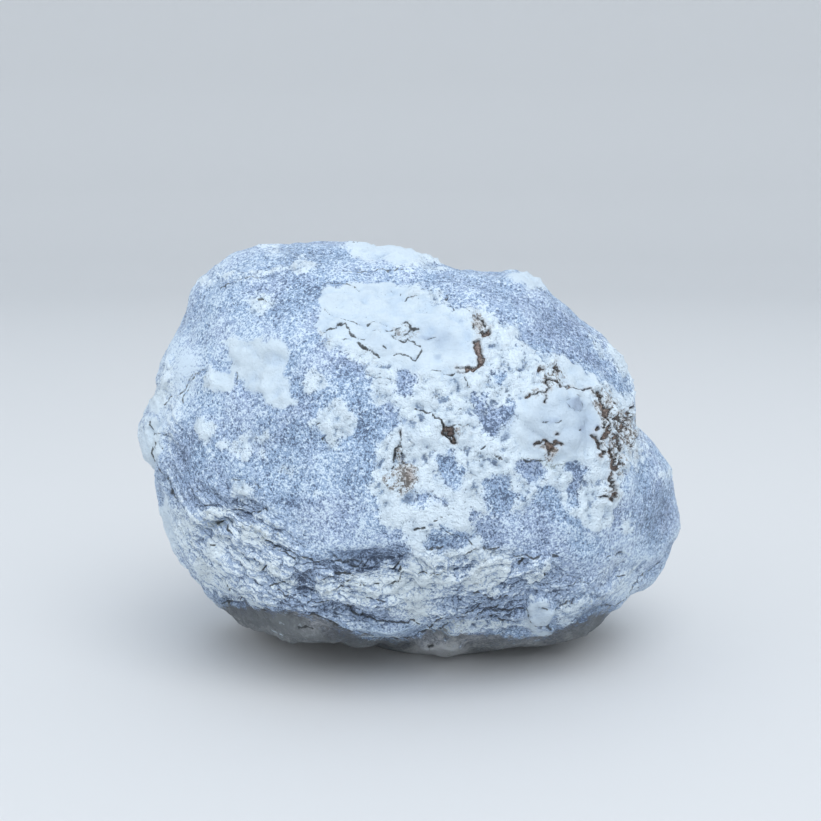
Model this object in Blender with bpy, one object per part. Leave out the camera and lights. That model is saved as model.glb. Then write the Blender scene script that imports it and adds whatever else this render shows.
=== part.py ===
"""An angelite nodule: one solid lump of massive anhydrite, rounded, with broad worn flats and folded layers.

Metres, +Z up, -Y the front. The origin is the middle of the small flat on which the nodule rests.
"""

import math

import bmesh
import bpy
import numpy as np
from mathutils import noise

MM = 0.001
TURN = 2 * math.pi

# The girth is the nodule's widest outline, on a plane that leans back. It is measured from GIRTH_CENTRE.
GIRTH_CENTRE = np.array((-4.2, 0.0, 32.8)) * MM
GIRTH_LEAN = math.radians(9)
FRONT_DEPTH = 34 * MM
BACK_DEPTH = 35 * MM
BOXINESS = 2.15
# The outline's own dips fade into a plain oval towards the front and the back.
HALF_LENGTH = 44.5 * MM
HALF_HEIGHT = 35.5 * MM
GIRTH_FADE = 5
# (across, up) in millimetres, anticlockwise from the right.
GIRTH = (
    (43.8, -4.0), (39.6, -0.5), (35.4, 7.5), (34.4, 12.2), (32.0, 15.8), (29.4, 18.6), (23.6, 22.8),
    (17.4, 26.8), (10.0, 28.7), (4.2, 29.8), (0.5, 32.0), (-8.5, 34.5), (-16.5, 34.3), (-28.0, 33.4),
    (-33.0, 31.2), (-36.2, 26.2), (-38.0, 20.0), (-42.6, 12.8), (-44.8, 5.0), (-45.4, -1.0), (-42.9, -5.4),
    (-41.5, -9.5), (-40.4, -15.0), (-39.8, -19.5), (-36.5, -26.5), (-32.0, -30.5), (-20.0, -33.0),
    (-8.5, -36.0), (3.0, -37.5), (12.0, -34.6), (24.5, -34.2), (34.0, -30.5), (40.5, -24.5), (43.3, -16.5),
    (44.5, -11.0),
)

# Broad worn flats: azimuth (0 front, 90 right), elevation, in degrees, and distance from the centre.
FLATS = (
    ("front_left_face", -30, 12, 35.5),
    ("front_shoulder", 0, 50, 33.5),
    ("upper_right_face", 48, 42, 35.0),
    ("front_right_face", 52, -2, 39.5),
    ("lower_front_face", 8, -34, 35.5),
    ("under_front", 0, -62, 33.5),
    ("lower_left_bevel", -52, -48, 38.0),
    ("lower_right_bevel", 62, -42, 42.8),
    ("underside", 0, -90, 31.8),
    ("back_left_face", -140, 10, 38.5),
    ("back_right_face", 138, 15, 37.5),
    ("back_shoulder", 175, 50, 33.5),
    ("under_back", 180, -38, 33.5),
)
FLAT_CRISPNESS = 20

# Forms are drawn in millimetres on one view of the nodule, seen square on: across, up, and towards the eye.
VIEWS = {
    "front": ((1, 0, 0), (0, 0, 1), (0, -1, 0)),
    "right": ((0, 1, 0), (0, 0, 1), (1, 0, 0)),
    "back": ((-1, 0, 0), (0, 0, 1), (0, 1, 0)),
    "left": ((0, -1, 0), (0, 0, 1), (-1, 0, 0)),
    "top": ((1, 0, 0), (0, 1, 0), (0, 0, 1)),
    "below": ((1, 0, 0), (0, -1, 0), (0, 0, -1)),
}
# Lumps and hollows: view, middle (across, up), half sizes, turn in degrees, share that is flat, rise.
LUMPS = (
    ("clear_dome", "front", (15.0, 43.5), (7.6, 6.8), 0, 0.30, 1.0),
    ("smooth_window", "front", (-26.5, 48.8), (6.6, 5.4), 0, 0.50, -0.8),
    ("upper_flap", "front", (-33.6, 28.4), (3.8, 2.0), 10, 0.40, 0.7),
    ("folded_bulge", "front", (-12.5, 17.8), (9.4, 4.2), -14, 0.25, 1.0),
    ("white_flap", "front", (13.7, 20.4), (3.4, 2.4), 20, 0.40, 0.7),
    ("button", "front", (14.5, 13.4), (2.7, 2.7), 0, 0.55, 0.9),
    ("button_foot", "front", (15.1, 8.9), (2.6, 1.4), 0, 0.40, 0.6),
    ("underside_lump_1", "front", (-21.0, 8.6), (3.4, 1.8), 8, 0.40, 0.9),
    ("underside_lump_2", "front", (-13.5, 3.8), (4.4, 2.0), 5, 0.40, 0.8),
    ("underside_lump_3", "front", (-0.5, 4.0), (5.2, 2.2), 0, 0.40, 1.0),
    ("underside_lump_4", "front", (10.5, 5.5), (4.2, 2.0), -4, 0.40, 0.7),
    ("left_lobe", "left", (2.0, 37.0), (12.0, 7.0), 0, 0.30, 0.6),
    ("lower_left_lobe", "left", (3.0, 24.5), (9.0, 5.5), 0, 0.40, 0.8),
    ("left_dent", "left", (-14.0, 50.0), (9.0, 6.0), 20, 0.10, -1.3),
    ("left_nub", "left", (-17.0, 28.0), (5.0, 4.0), 0, 0.30, 1.0),
    ("top_knob", "top", (13.2, -3.0), (4.0, 4.2), 0, 0.50, 1.2),
    ("knob_foot", "top", (17.8, -4.0), (4.0, 4.4), 0, 0.30, 0.4),
    ("top_saddle", "top", (3.0, 13.0), (13.0, 9.0), 10, 0.10, -1.6),
    ("top_swell", "top", (-21.0, 9.0), (11.0, 9.0), 0, 0.20, 1.0),
    ("shoulder_swell", "right", (-4.0, 49.5), (9.0, 6.0), 0, 0.20, 1.2),
    ("right_corner", "right", (-3.0, 32.4), (7.0, 3.6), 0, 0.10, 1.3),
    ("lower_right_swell", "right", (-4.0, 16.0), (13.0, 8.0), 0, 0.30, 1.0),
    ("right_hollow", "right", (14.0, 30.0), (8.0, 7.0), -10, 0.10, -1.5),
    ("back_hollow", "back", (12.0, 38.0), (15.0, 11.0), 20, 0.10, -2.4),
    ("back_swell", "back", (-18.0, 28.0), (12.0, 9.0), -15, 0.20, 1.6),
    ("back_pit", "back", (24.0, 30.0), (4.0, 3.0), 30, 0.20, -1.2),
    ("back_nub", "back", (-4.0, 23.0), (4.5, 3.4), 0, 0.30, 1.0),
)
# The foot is a level oval that reaches this far below the ground, which then cuts the resting flat from it.
FOOT = ("below", (0.0, 0.0), (18.0, 12.5), 0, 0.50)
FOOT_DEPTH = 0.5 * MM
# Ridges and grooves: view, half width, rise, and the points they pass through.
SEAMS = (
    ("left_groove", "left", 2.4, -1.6, ((13, 42), (12, 37), (13, 34), (9, 31.5), (2, 30), (-8, 30.5), (-15, 33))),
    ("fold_groove", "front", 1.9, -1.0, (
        (-24, 19.5), (-21, 17.6), (-18.4, 15.8), (-13.7, 14.1), (-10.5, 12.4), (-5.5, 11.8))),
    ("rim_ridge", "front", 1.7, 0.7, ((-20, 14.4), (-14.7, 11.9), (-9.1, 9.8), (-4, 10.5))),
    ("back_crack", "back", 1.9, -1.0, ((-14, 60), (-11, 52), (-15, 45), (-10, 38), (-12, 30))),
    ("top_crack", "top", 1.7, -0.8, ((-12, -8), (-10, 0), (-14, 7), (-12, 16))),
)
# Ledges: view, width over which the lower side climbs back, drop, and their edge with the high side on its left.
LEDGES = (
    ("sugar_edge", "front", 9, 0.6, (
        (-36, 59), (-32.5, 61.5), (-27.5, 62.3), (-24, 63.4), (-19, 62.3), (-12, 61.5), (-4, 62), (2, 61))),
    ("recess_edge", "front", 4, 1.1, (
        (-25, 20.6), (-21.3, 20.9), (-18.5, 21.2), (-16.3, 22.4), (-14, 23.8), (-8.9, 24.6), (-4, 25))),
    ("left_fold", "front", 4, 0.9, ((-40, 25), (-37.3, 25), (-34.1, 26.4), (-31.2, 26), (-27, 24.4))),
    ("right_fold", "front", 3, 0.7, ((-1, 16.8), (4.8, 16.3), (6.2, 17.3), (8.3, 15.7), (12, 16))),
    ("flap_edge", "front", 3, 0.6, ((6, 22.3), (9.9, 23), (12.6, 22.2), (14.2, 23.1), (20, 22.6))),
    ("lower_rim", "front", 7, 1.4, (
        (-38, 10), (-34, 10.8), (-30.7, 12.4), (-23.5, 13.2), (-18.8, 12.2), (-14.5, 9), (-9.2, 6.8),
        (-6.4, 7.2), (-1.3, 10), (1.5, 11.4), (8, 12.3), (14, 10.3), (20, 10.5), (26, 12), (31, 15))),
    ("left_fold_high", "left", 7, 1.0, ((-26, 38), (-15, 43), (-4, 46), (8, 45), (18, 49))),
    ("left_fold_low", "left", 6, 1.1, ((-26, 20), (-14, 17.5), (-2, 19), (10, 15), (22, 14))),
    ("right_fold_high", "right", 7, 1.0, ((-22, 44), (-10, 41), (2, 43), (14, 40), (25, 42))),
    ("right_fold_low", "right", 6, 1.2, ((-24, 20), (-12, 18), (0, 20.5), (12, 17), (24, 19))),
    ("back_fold_high", "back", 9, 1.0, ((-31, 35), (-24, 41), (-12, 44), (-2, 42), (6, 46), (12, 52))),
    ("back_fold_middle", "back", 6, 0.9, ((2, 30), (9, 27), (17, 29), (25, 24), (34, 26))),
    ("back_fold_low", "back", 7, 1.4, (
        (-36, 18), (-25, 15), (-14, 17), (-3, 13.5), (9, 14), (20, 17), (31, 15.5), (38, 20))),
)
LEDGE_WIDTH = 1.6
# A seam or a ledge dies out over this length at each end.
TAPER = 4.0
# A form is whole where the surface looks this much towards its view's eye, and gone where it looks away.
FACING_START = 0.08
FACING_FULL = 0.45

# Folded layers crop out low on the nodule as small wavy ledges. Sizes in millimetres.
LAYER_SPACING = 4.4
LAYER_STEP = 0.6
LAYER_WAVE = 3.4
LAYER_WAVE_SIZE = 17
LAYER_TILT = (-0.10, 0.14, 1.0)
LAYERS_TOP = 31
LAYERS_FADE = 13
# Weathered unevenness: (size, height) in millimetres.
UNEVENNESS = ((21, 1.3), (8, 0.75), (3.6, 0.32))

SPHERE_SUBDIVISIONS = 7
FACE_SHARE = 0.11
CUTTER_SIZE = 120 * MM

COLOUR = (0.42, 0.53, 0.68, 1)
ROUGHNESS = 0.6
CREASE_ANGLE = math.radians(50)


def soft_step(t):
    t = np.clip(t, 0, 1)
    return t * t * (3 - 2 * t)


def closed_curve(knots, values, at):
    """A smooth curve through values at knots (angles that rise over one turn), read at the angles at."""
    knots = np.concatenate([knots[-2:] - TURN, knots, knots[:2] + TURN])
    values = np.concatenate([values[-2:], values, values[:2]])
    slopes = (values[2:] - values[:-2]) / (knots[2:] - knots[:-2])
    knots, values = knots[1:-1], values[1:-1]
    left = np.clip(np.searchsorted(knots, at, side="right") - 1, 0, len(knots) - 2)
    span = knots[left + 1] - knots[left]
    t = (at - knots[left]) / span
    rise = values[left + 1] - values[left]
    start, end = slopes[left] * span, slopes[left + 1] * span
    return values[left] + t * (start + t * (3 * rise - 2 * start - end + t * (start + end - 2 * rise)))


def girth_radius(angles):
    points = np.array(GIRTH) * MM
    knots = np.arctan2(points[:, 1], points[:, 0]) % TURN
    radii = np.hypot(points[:, 0], points[:, 1])
    order = np.argsort(knots)
    return closed_curve(knots[order], radii[order], angles % TURN)


def view_direction(azimuth, elevation):
    """A unit vector, azimuth 0 to the front and 90 to the right, elevation up, in degrees."""
    a, e = math.radians(azimuth), math.radians(elevation)
    return np.array((math.sin(a) * math.cos(e), -math.cos(a) * math.cos(e), math.sin(e)))


def plain_radius(directions):
    """Distance from the centre to the plain form along each direction."""
    lean_up = np.array((0, math.sin(GIRTH_LEAN), math.cos(GIRTH_LEAN)))
    lean_back = np.array((0, math.cos(GIRTH_LEAN), -math.sin(GIRTH_LEAN)))
    across, up, back = directions[:, 0], directions @ lean_up, directions @ lean_back
    girdle = np.hypot(across, up)
    oval = 1 / np.hypot(across / girdle / HALF_LENGTH, up / girdle / HALF_HEIGHT)
    outline = oval + (girth_radius(np.arctan2(up, across)) - oval) * girdle ** GIRTH_FADE
    depth = np.where(back < 0, FRONT_DEPTH, BACK_DEPTH)
    reach = (girdle / outline) ** BOXINESS + (np.abs(back) / depth) ** BOXINESS
    inverse = reach ** (FLAT_CRISPNESS / BOXINESS)
    for _, azimuth, elevation, distance in FLATS:
        facing = np.maximum(directions @ view_direction(azimuth, elevation), 0)
        inverse += (facing / (distance * MM)) ** FLAT_CRISPNESS
    return inverse ** (-1 / FLAT_CRISPNESS)


def seen(view, points, directions):
    """Points as (across, up) on a view, in millimetres, and how far the surface there faces its eye."""
    across, up, eye = (np.array(axis) for axis in VIEWS[view])
    flat = np.stack([points @ across, points @ up], axis=1) / MM
    facing = directions @ eye
    return flat, soft_step((facing - FACING_START) / (FACING_FULL - FACING_START))


def along_path(flat, path):
    """Signed distance from a path, positive on its left, and a weight that falls to 0 at its ends."""
    nearest = np.full(len(flat), np.inf)
    side = np.zeros(len(flat))
    travelled = np.zeros(len(flat))
    length = 0
    for start, end in zip(path, path[1:]):
        run = np.subtract(end, start)
        offset = flat - start
        share = np.clip(offset @ run / (run @ run), 0, 1)
        distance = np.hypot(*(offset - share[:, None] * run).T)
        closer = distance < nearest
        nearest = np.where(closer, distance, nearest)
        side = np.where(closer, np.sign(run[0] * offset[:, 1] - run[1] * offset[:, 0]), side)
        travelled = np.where(closer, length + share * np.hypot(*run), travelled)
        length += np.hypot(*run)
    return nearest * side, soft_step(travelled / TAPER) * soft_step((length - travelled) / TAPER)


def oval_weight(points, directions, view, middle, half_sizes, turn, flat_share):
    """1 over the flat share of a turned oval on a view, falling to 0 at its rim."""
    flat, weight = seen(view, points, directions)
    offset = flat - middle
    cosine, sine = math.cos(math.radians(turn)), math.sin(math.radians(turn))
    along = offset[:, 0] * cosine + offset[:, 1] * sine
    athwart = offset[:, 1] * cosine - offset[:, 0] * sine
    reach = np.hypot(along / half_sizes[0], athwart / half_sizes[1])
    return weight * soft_step((1 - reach) / (1 - flat_share))


def lumps(points, directions):
    return sum(rise * oval_weight(points, directions, *oval) for _, *oval, rise in LUMPS)


def seams(points, directions):
    rise = np.zeros(len(points))
    for _, view, half_width, height, path in SEAMS:
        flat, weight = seen(view, points, directions)
        distance, ends = along_path(flat, path)
        rise += weight * ends * height * soft_step(1 - np.abs(distance) / half_width)
    return rise


def ledges(points, directions):
    rise = np.zeros(len(points))
    for _, view, fade, drop, path in LEDGES:
        flat, weight = seen(view, points, directions)
        distance, ends = along_path(flat, path)
        below = soft_step(-distance / LEDGE_WIDTH) * soft_step(1 + (distance + LEDGE_WIDTH) / fade)
        rise -= weight * ends * drop * below
    return rise


def uneven(points, size):
    """Smooth noise from about -1 to 1 with lumps of a size in millimetres."""
    return np.array([noise.noise(point) for point in points / (size * MM)])


def layers(points):
    """Small ledges where folded layers crop out: each climbs slowly and drops at its edge."""
    height = points @ np.array(LAYER_TILT) / MM + LAYER_WAVE * uneven(points, LAYER_WAVE_SIZE)
    phase = height / LAYER_SPACING % 1
    saw = np.where(phase < 0.8, phase / 0.8, (1 - phase) / 0.2)
    low = soft_step((LAYERS_TOP - points[:, 2] / MM) / LAYERS_FADE)
    patchy = soft_step(0.75 + uneven(points + 0.1, LAYER_WAVE_SIZE))
    return LAYER_STEP * (soft_step(saw) - 0.5) * low * patchy


def nodule_points(directions):
    plain = plain_radius(directions)
    points = GIRTH_CENTRE + directions * plain[:, None]
    relief = lumps(points, directions) + seams(points, directions) + ledges(points, directions) + layers(points)
    for size, height in UNEVENNESS:
        relief += height * uneven(points, size)
    radius = plain + relief * MM
    foot = oval_weight(points, directions, *FOOT)
    to_foot = (GIRTH_CENTRE[2] + FOOT_DEPTH) / np.maximum(-directions[:, 2], FACING_START)
    radius += foot * (to_foot - radius)
    return GIRTH_CENTRE + directions * radius[:, None]


def stone_material():
    material = bpy.data.materials.new("angelite")
    material.use_nodes = True
    surface = material.node_tree.nodes["Principled BSDF"]
    surface.inputs["Base Color"].default_value = COLOUR
    surface.inputs["Roughness"].default_value = ROUGHNESS
    surface.inputs["Metallic"].default_value = 0
    return material


def new_collection(name):
    collection = bpy.data.collections.new(name)
    bpy.context.scene.collection.children.link(collection)
    return collection


def ground_cutter(collection):
    """A box whose top is the ground, which cuts the resting flat."""
    mesh = bpy.data.meshes.new("ground_cutter")
    box = bmesh.new()
    bmesh.ops.create_cube(box, size=CUTTER_SIZE)
    bmesh.ops.translate(box, verts=box.verts, vec=(0, 0, -CUTTER_SIZE / 2))
    box.to_mesh(mesh)
    box.free()
    cutter = bpy.data.objects.new("ground_cutter", mesh)
    cutter.hide_render = True
    cutter.display_type = "WIRE"
    collection.objects.link(cutter)
    return cutter


def nodule(collection, cutter):
    mesh = bpy.data.meshes.new("angelite_nodule")
    form = bmesh.new()
    bmesh.ops.create_icosphere(form, subdivisions=SPHERE_SUBDIVISIONS, radius=1)
    directions = np.array([vertex.co.normalized() for vertex in form.verts])
    for vertex, point in zip(form.verts, nodule_points(directions)):
        vertex.co = point
    form.to_mesh(mesh)
    form.free()
    mesh.materials.append(stone_material())
    mesh.shade_smooth()
    mesh.set_sharp_from_angle(angle=CREASE_ANGLE)
    stone = bpy.data.objects.new("angelite_nodule", mesh)
    collection.objects.link(stone)
    fewer_faces = stone.modifiers.new("fewer_faces", "DECIMATE")
    fewer_faces.ratio = FACE_SHARE
    resting_flat = stone.modifiers.new("resting_flat", "BOOLEAN")
    resting_flat.operation = "DIFFERENCE"
    resting_flat.object = cutter
    return stone


def main():
    for thing in list(bpy.data.objects):
        bpy.data.objects.remove(thing)
    nodule(new_collection("angelite_nodule"), ground_cutter(new_collection("cutters")))


if __name__ == "__main__":
    main()
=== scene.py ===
"""The angelite nodule's finished look: a fine skin over the CAD solid, its chalky white patches, sugary blue
grain, folded layers and brown-filled cracks, on a pale studio floor. Marks are drawn in millimetres on views.
"""

import math

import bmesh
import bpy
import numpy as np
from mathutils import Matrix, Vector


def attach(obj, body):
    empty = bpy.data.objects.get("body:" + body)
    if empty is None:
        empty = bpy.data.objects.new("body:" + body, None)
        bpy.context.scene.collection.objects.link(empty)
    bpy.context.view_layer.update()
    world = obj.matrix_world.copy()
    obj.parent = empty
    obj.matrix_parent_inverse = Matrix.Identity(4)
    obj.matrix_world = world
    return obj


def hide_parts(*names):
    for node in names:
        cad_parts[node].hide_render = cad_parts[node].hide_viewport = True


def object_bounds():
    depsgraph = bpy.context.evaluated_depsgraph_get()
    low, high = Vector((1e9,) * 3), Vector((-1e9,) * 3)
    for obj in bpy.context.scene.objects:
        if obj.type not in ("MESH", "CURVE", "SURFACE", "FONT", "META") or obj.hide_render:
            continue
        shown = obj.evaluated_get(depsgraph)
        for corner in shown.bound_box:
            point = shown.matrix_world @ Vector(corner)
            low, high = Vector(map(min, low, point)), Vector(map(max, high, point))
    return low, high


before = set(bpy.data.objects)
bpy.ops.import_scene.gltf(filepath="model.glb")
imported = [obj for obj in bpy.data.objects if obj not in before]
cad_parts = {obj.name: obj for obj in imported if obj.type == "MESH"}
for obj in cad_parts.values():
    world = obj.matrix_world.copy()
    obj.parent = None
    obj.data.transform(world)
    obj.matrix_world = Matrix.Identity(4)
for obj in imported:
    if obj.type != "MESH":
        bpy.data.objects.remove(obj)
cad_low, cad_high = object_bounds()

MM = 0.001
NODE = "angelite_nodule"
MIDDLE = np.array((-4.2, 0, 32.8))

# -------- mesh fineness
MERGED_WITHIN = 0.002 * MM
SKIN_VOXEL = 0.89 * MM
SKIN_SMOOTHINGS = 5
# Each smoothing moves vertices towards their neighbours' mean, and then back by a little less.
SMOOTH_IN = 0.55
SMOOTH_OUT = 0.50
# A sharp ledge on the right side is eased further: in full within the first distance, not beyond the second.
LEDGE_MIDDLE = (39.8, 0.5, 18.6)
LEDGE_EASED = (3.2, 8)
LEDGE_SMOOTHINGS = 14
# Faces are split level by level where lines pass this near, and on the front where it is white or folded.
LEVELS = 3
LINE_CORRIDORS = (0.40, 0.16, -0.02)
FRONT_REFINED = 0.42
WHITE_REFINED = -0.3
FOLDED_REFINED = 0.45
HOLLOW_SMOOTHINGS = 12

# -------- views on which marks are drawn
# Azimuth (0 front, 90 right) and elevation in degrees, where the eye stands before the view's plane (across
# and up), and how squarely it must see a point for the view's marks to begin and to show in full. The front's
# marks wrap over its rim.
SEEN_FROM = (0.02, 0.28)
VIEWS = {
    "front": (0, 9, (-0.75, 6.58), (-0.22, -0.04)),
    "right": (90, 6, (0, 0), SEEN_FROM),
    "back": (180, 10, (0, 0), SEEN_FROM),
    "left": (-90, 6, (0, 0), SEEN_FROM),
    "top": (0, 89.9, (0, 0), SEEN_FROM),
    "below": (0, -89.9, (0, 0), SEEN_FROM),
}
EYE_DISTANCE = 216.6
# How squarely the eye must see a point for lines to show.
LINES_FACING = 0.10
# Reaches into marks are kept within this many millimetres either way.
REACH_LIMIT = 3

# -------- white chalky patches on the front
# Outlines and lines are points in turn, each a number across and a number up.
WHITE_OUTLINES = {
    "window": (
        -30.3, 19.6, -27.6, 17.6, -25.5, 18.6, -22.2, 18.3, -20.6, 15.5, -21.3, 13.4, -20.5, 11.6, -20.7, 9.6,
        -20.1, 8.4, -21.5, 7.3, -23.6, 6.9, -25.1, 7.8, -25.8, 9.1, -27.2, 9.9, -28.5, 10.5, -29.4, 11.5,
        -29.8, 13, -30.4, 11.7, -31.2, 9.9, -33.2, 9.4, -35.2, 10.2, -35.4, 12, -33.4, 13.4, -31.2, 13.4,
        -30.6, 15, -31.6, 17.6,
    ),
    "flower": (
        -17.6, 4.7, -15.8, 6.8, -14.1, 7.7, -12.6, 8.9, -10.8, 7.7, -9.3, 6.4, -8.9, 4.9, -10, 3.8,
        -11.5, 2.7, -12.6, 1.4, -14.1, 1, -15.4, 1.8, -16.7, 3.1,
    ),
    "top_band": (
        -35.8, 27.3, -33.5, 28.4, -28, 28.7, -25.5, 28.8, -23, 30.2, -20.5, 30, -18.8, 29.4, -16.5, 30.8,
        -18.2, 31.8, -22, 31.6, -23.6, 32, -22.2, 33.2, -23, 35.2, -28.5, 35.6, -34, 33.5, -37.5, 29.5,
    ),
    "top_middle": (
        -13.5, 36.5, -12, 33.8, -8.2, 31.6, -4.4, 31.2, -1, 30.4, 2.6, 30.6, 4.6, 31, 3, 34, 0, 36.5,
    ),
    "main": (
        -15.6, 19, -15.8, 22, -15.2, 25.4, -14.2, 27, -10.5, 27.8, -6, 27.4, -2.5, 28.2, 1.5, 27.6, 4.2, 26.4,
        5.4, 24.4, 7, 22.8, 9, 23.6, 11.5, 24, 13.4, 22.8, 15.2, 20.9, 17.2, 20, 17.8, 18.4, 19.5, 17.2,
        22.5, 16, 25.2, 15.2, 27.6, 13.8, 30, 12.6, 31.6, 11.4, 33.2, 9.8, 34.6, 9.4, 36.4, 8.4, 38.5, 3.4,
        38.6, -0.5, 37.4, -2.6, 34.6, -3.4, 34.4, -6, 33.8, -9, 33.2, -12, 30.6, -13.3, 28.6, -12,
        27.6, -10.4, 25.6, -9.6, 24.3, -8.2, 23.6, -6.6, 21.8, -5.6, 19.6, -6.4, 18.6, -8, 18.4, -10.2,
        16.4, -11, 13.6, -11.6, 11.6, -10.9, 10, -12.2, 9.9, -14.6, 12.6, -16.2, 15.4, -16.4, 16.2, -18.6,
        15, -21.2, 15, -23.4, 13.6, -24.4, 11.8, -22.8, 9.6, -23.4, 6, -22.8, 3.4, -23.4, 1.6, -25,
        1.4, -27.4, -0.4, -28.6, -1.8, -27, -1.6, -25.2, -4, -24.8, -8.2, -24.4, -10.4, -25.6, -13, -24.6,
        -16.4, -23.6, -16.9, -22, -14.4, -21, -11, -20.4, -7, -20, -3.6, -19.9, -2.2, -19, -1.6, -17.4,
        -1.9, -15, -2.6, -12.9, -4.6, -12.4, -6.2, -11.6, -7.4, -9.6, -7.2, -7, -6.9, -4.2, -6.3, -1, -6.8, 1,
        -5.6, 2.8, -3.6, 3.4, -1.4, 4.6, -1.8, 5.5, -3.4, 6.4, -5.8, 7.6, -7, 8.8, -7.5, 10.6, -8.2, 12.4,
        -9.1, 14, -10.6, 15.2, -12.4, 16, -14.8, 16.8,
    ),
    "white_flap": (
        20.2, -19.2, 21.8, -18, 23, -18.3, 22.8, -19.5, 22, -20.8, 20.3, -22, 18.8, -21.8, 18.3, -20.8,
    ),
    "button": (
        18.7, -25, 20, -24.4, 21.2, -24.4, 22.2, -25.3, 23.1, -26.3, 22.6, -28, 21.2, -29, 20, -29.1,
        19, -28.2, 18.5, -26.6,
    ),
}
# The smooth underside, below the nodule's lower rim: how far short of it the white stops, and its soft edge.
UNDERSIDE = (
    -37, -25.6, -33, -26.2, -30, -26.2, -27, -26.4, -24, -27, -20, -27.6, -16.4, -28.1, -14.8, -28.7,
    -13.4, -29.6, -11.5, -30.5, -9, -31.2, -6.5, -31.8, -4, -32, -2, -31.8, 0, -31.3, 2, -30.7, 4, -30.3,
    8, -30.6, 12, -31, 16, -31.4, 19, -31.2, 24, -30.8, 28, -28.6, 31, -27.4, 34, -26.4, 38, -24, 44, -26,
    30, -38, 0, -44, -38, -38,
)
UNDERSIDE_BORDER = 1
UNDERSIDE_EDGE = (-1.1, 0.9)
# Out of the front's sight the underside's look fades out between these heights.
UNDERSIDE_HEIGHTS = (3.5, 8)
UNDERSIDE_RAGGED = 2.4
# An oval is its middle across and up, its half sizes across and up, and its turn in degrees.
WHITE_OVALS = {
    "front": (
        (-35, 3.7, 1.7, 1.9, 0), (-29.6, 0.2, 3.3, 1.1, 3), (-27.2, 1.5, 1.8, 0.7, 10),
        (-28.7, -7.2, 1.9, 1.6, 0), (-33, -10.5, 2.1, 1.2, 5), (-16.8, -7.1, 0.5, 0.4, 0),
        (-26.3, 24.7, 2, 1.5, 10), (-21.2, -3, 1.1, 0.7, 0), (21.2, -30.2, 2, 0.75, 4),
        (19.2, -29.2, 1.1, 1.4, 30), (6.2, -30.3, 1.1, 1.1, 0), (26.6, -26, 2.3, 0.9, 12),
        (25.4, -28, 1.7, 0.8, 25), (42.2, -4.2, 1.1, 0.7, 0), (35.2, -13, 0.7, 1.3, 10),
        (36.4, -20.3, 1.4, 0.8, 30), (18.4, 28.6, 3, 1.6, 0), (-21, -22.8, 2, 1.6, 0),
        (-33.4, -16.6, 2.2, 2.4, 20), (-38.6, -13, 1.6, 3.6, 8), (-27, -13.6, 2.6, 1.4, -15),
        (10, -29.6, 5, 0.8, 4), (34, 14.6, 1.6, 3.6, 24), (-17, 11.6, 1.5, 1.6, 20), (-44.4, 1, 2, 5.4, -4),
        (-41.2, -13, 1.7, 5, 6), (-42.6, 10, 1.3, 4, -14), (-34.6, -20.4, 2, 2.6, 30), (5, -18, 1.4, 0.5, 0),
        (-24, -19.6, 3.2, 1, -16), (-29, -24, 3, 0.8, -20), (30.8, 17.6, 0.7, 2.4, 28),
    ),
    "right": (
        (-24, 20, 5, 7, 20), (-6, 13, 6, 4, -10), (12, 6, 7, 5, 25), (14, -16, 8, 3.5, 8),
        (-10, -10, 4, 2.6, 0), (25, -4, 3, 5, 0),
    ),
    "left": (
        (2, 5, 11, 5, 4), (-12, -4, 5, 3, 10), (10, -16, 9, 3.2, -6), (-14, 20, 6, 3.6, 20),
        (22, 12, 3.6, 6, 10),
    ),
    "back": (
        (-14, 12, 9, 6, 20), (6, 17, 6, 3.2, -12), (20, 2, 5.5, 6.5, 10), (1, -3, 4, 3, 0),
        (-24, -9, 6, 4, 15), (8, -20, 10, 3, 5), (-8, -18, 3.5, 2, 0), (30, -14, 4, 2.5, 0),
    ),
    "top": (
        (-20, 6, 7, 4, 10), (0, -4, 9, 4, -8), (12, 12, 5, 4, 30), (-10, 20, 5, 3, 0),
    ),
    "below": (
        (-14, 4, 12, 7, 10), (14, -2, 11, 8, -15), (0, 16, 10, 4, 0), (-20, -14, 8, 4, 20),
    ),
}
# Blue that shows through the white: closed outlines and ovals on the front.
BLUE_OUTLINES = (
    (10.2, 9.6, 10.8, 6.4, 11.6, 4, 12.6, 2.4, 13.8, 2.6, 15, 4.4, 16.2, 5.6, 16.9, 7.4, 15.6, 8.3, 14, 6.9,
     12.6, 7, 11.6, 9.3),
    (3.8, -0.6, 5.4, -0.8, 7, -2.2, 8.3, -3.2, 6.9, -4.6, 7.4, -6.6, 6, -7, 4.4, -5, 3.8, -3),
    (11.9, -5.2, 13.4, -4.2, 15.6, -4.2, 16.9, -5.8, 17.4, -8, 16.6, -10.4, 14, -12, 12.4, -10.4, 11.6, -7.2),
    (26, -2.4, 27.6, -1.9, 29.2, -2.8, 29.5, -4, 28, -5.2, 27, -6.6, 26.4, -8.8, 25.2, -8.8, 25, -6.4,
     25.6, -4.2),
    (1.9, -15.6, 2.4, -13.8, 4, -12.9, 5.6, -13.2, 7.4, -14.2, 9.4, -15.4, 8, -16.2, 6.4, -16, 4, -16.8,
     2.6, -17),
)
BLUE_OVALS = (
    (-2, 11.6, 1.5, 2.4, -8), (1.9, -8.1, 2.6, 1.1, -15), (21.5, -7.8, 1.9, 1.9, 0),
    (19.6, -3.3, 1.5, 1.1, 0), (-30.6, 31, 3.6, 0.9, 14), (-24.8, 31.1, 2.2, 0.5, 5),
    (-34.2, 29.9, 1.6, 0.7, 40), (-28.8, 33.4, 2.6, 0.5, 14), (6.4, -18.7, 2.1, 1.1, 0),
    (3.3, -17.7, 0.7, 0.5, 0), (13.7, 12.2, 1.1, 0.8, 0),
)

# -------- soft ovals on the front, with their amounts
# An amount is full inside the first share of the half sizes, and nothing beyond the second.
OVAL_FADE = (0.45, 1.5)
LUMP_EDGE = (0.76, 1.16)
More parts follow.
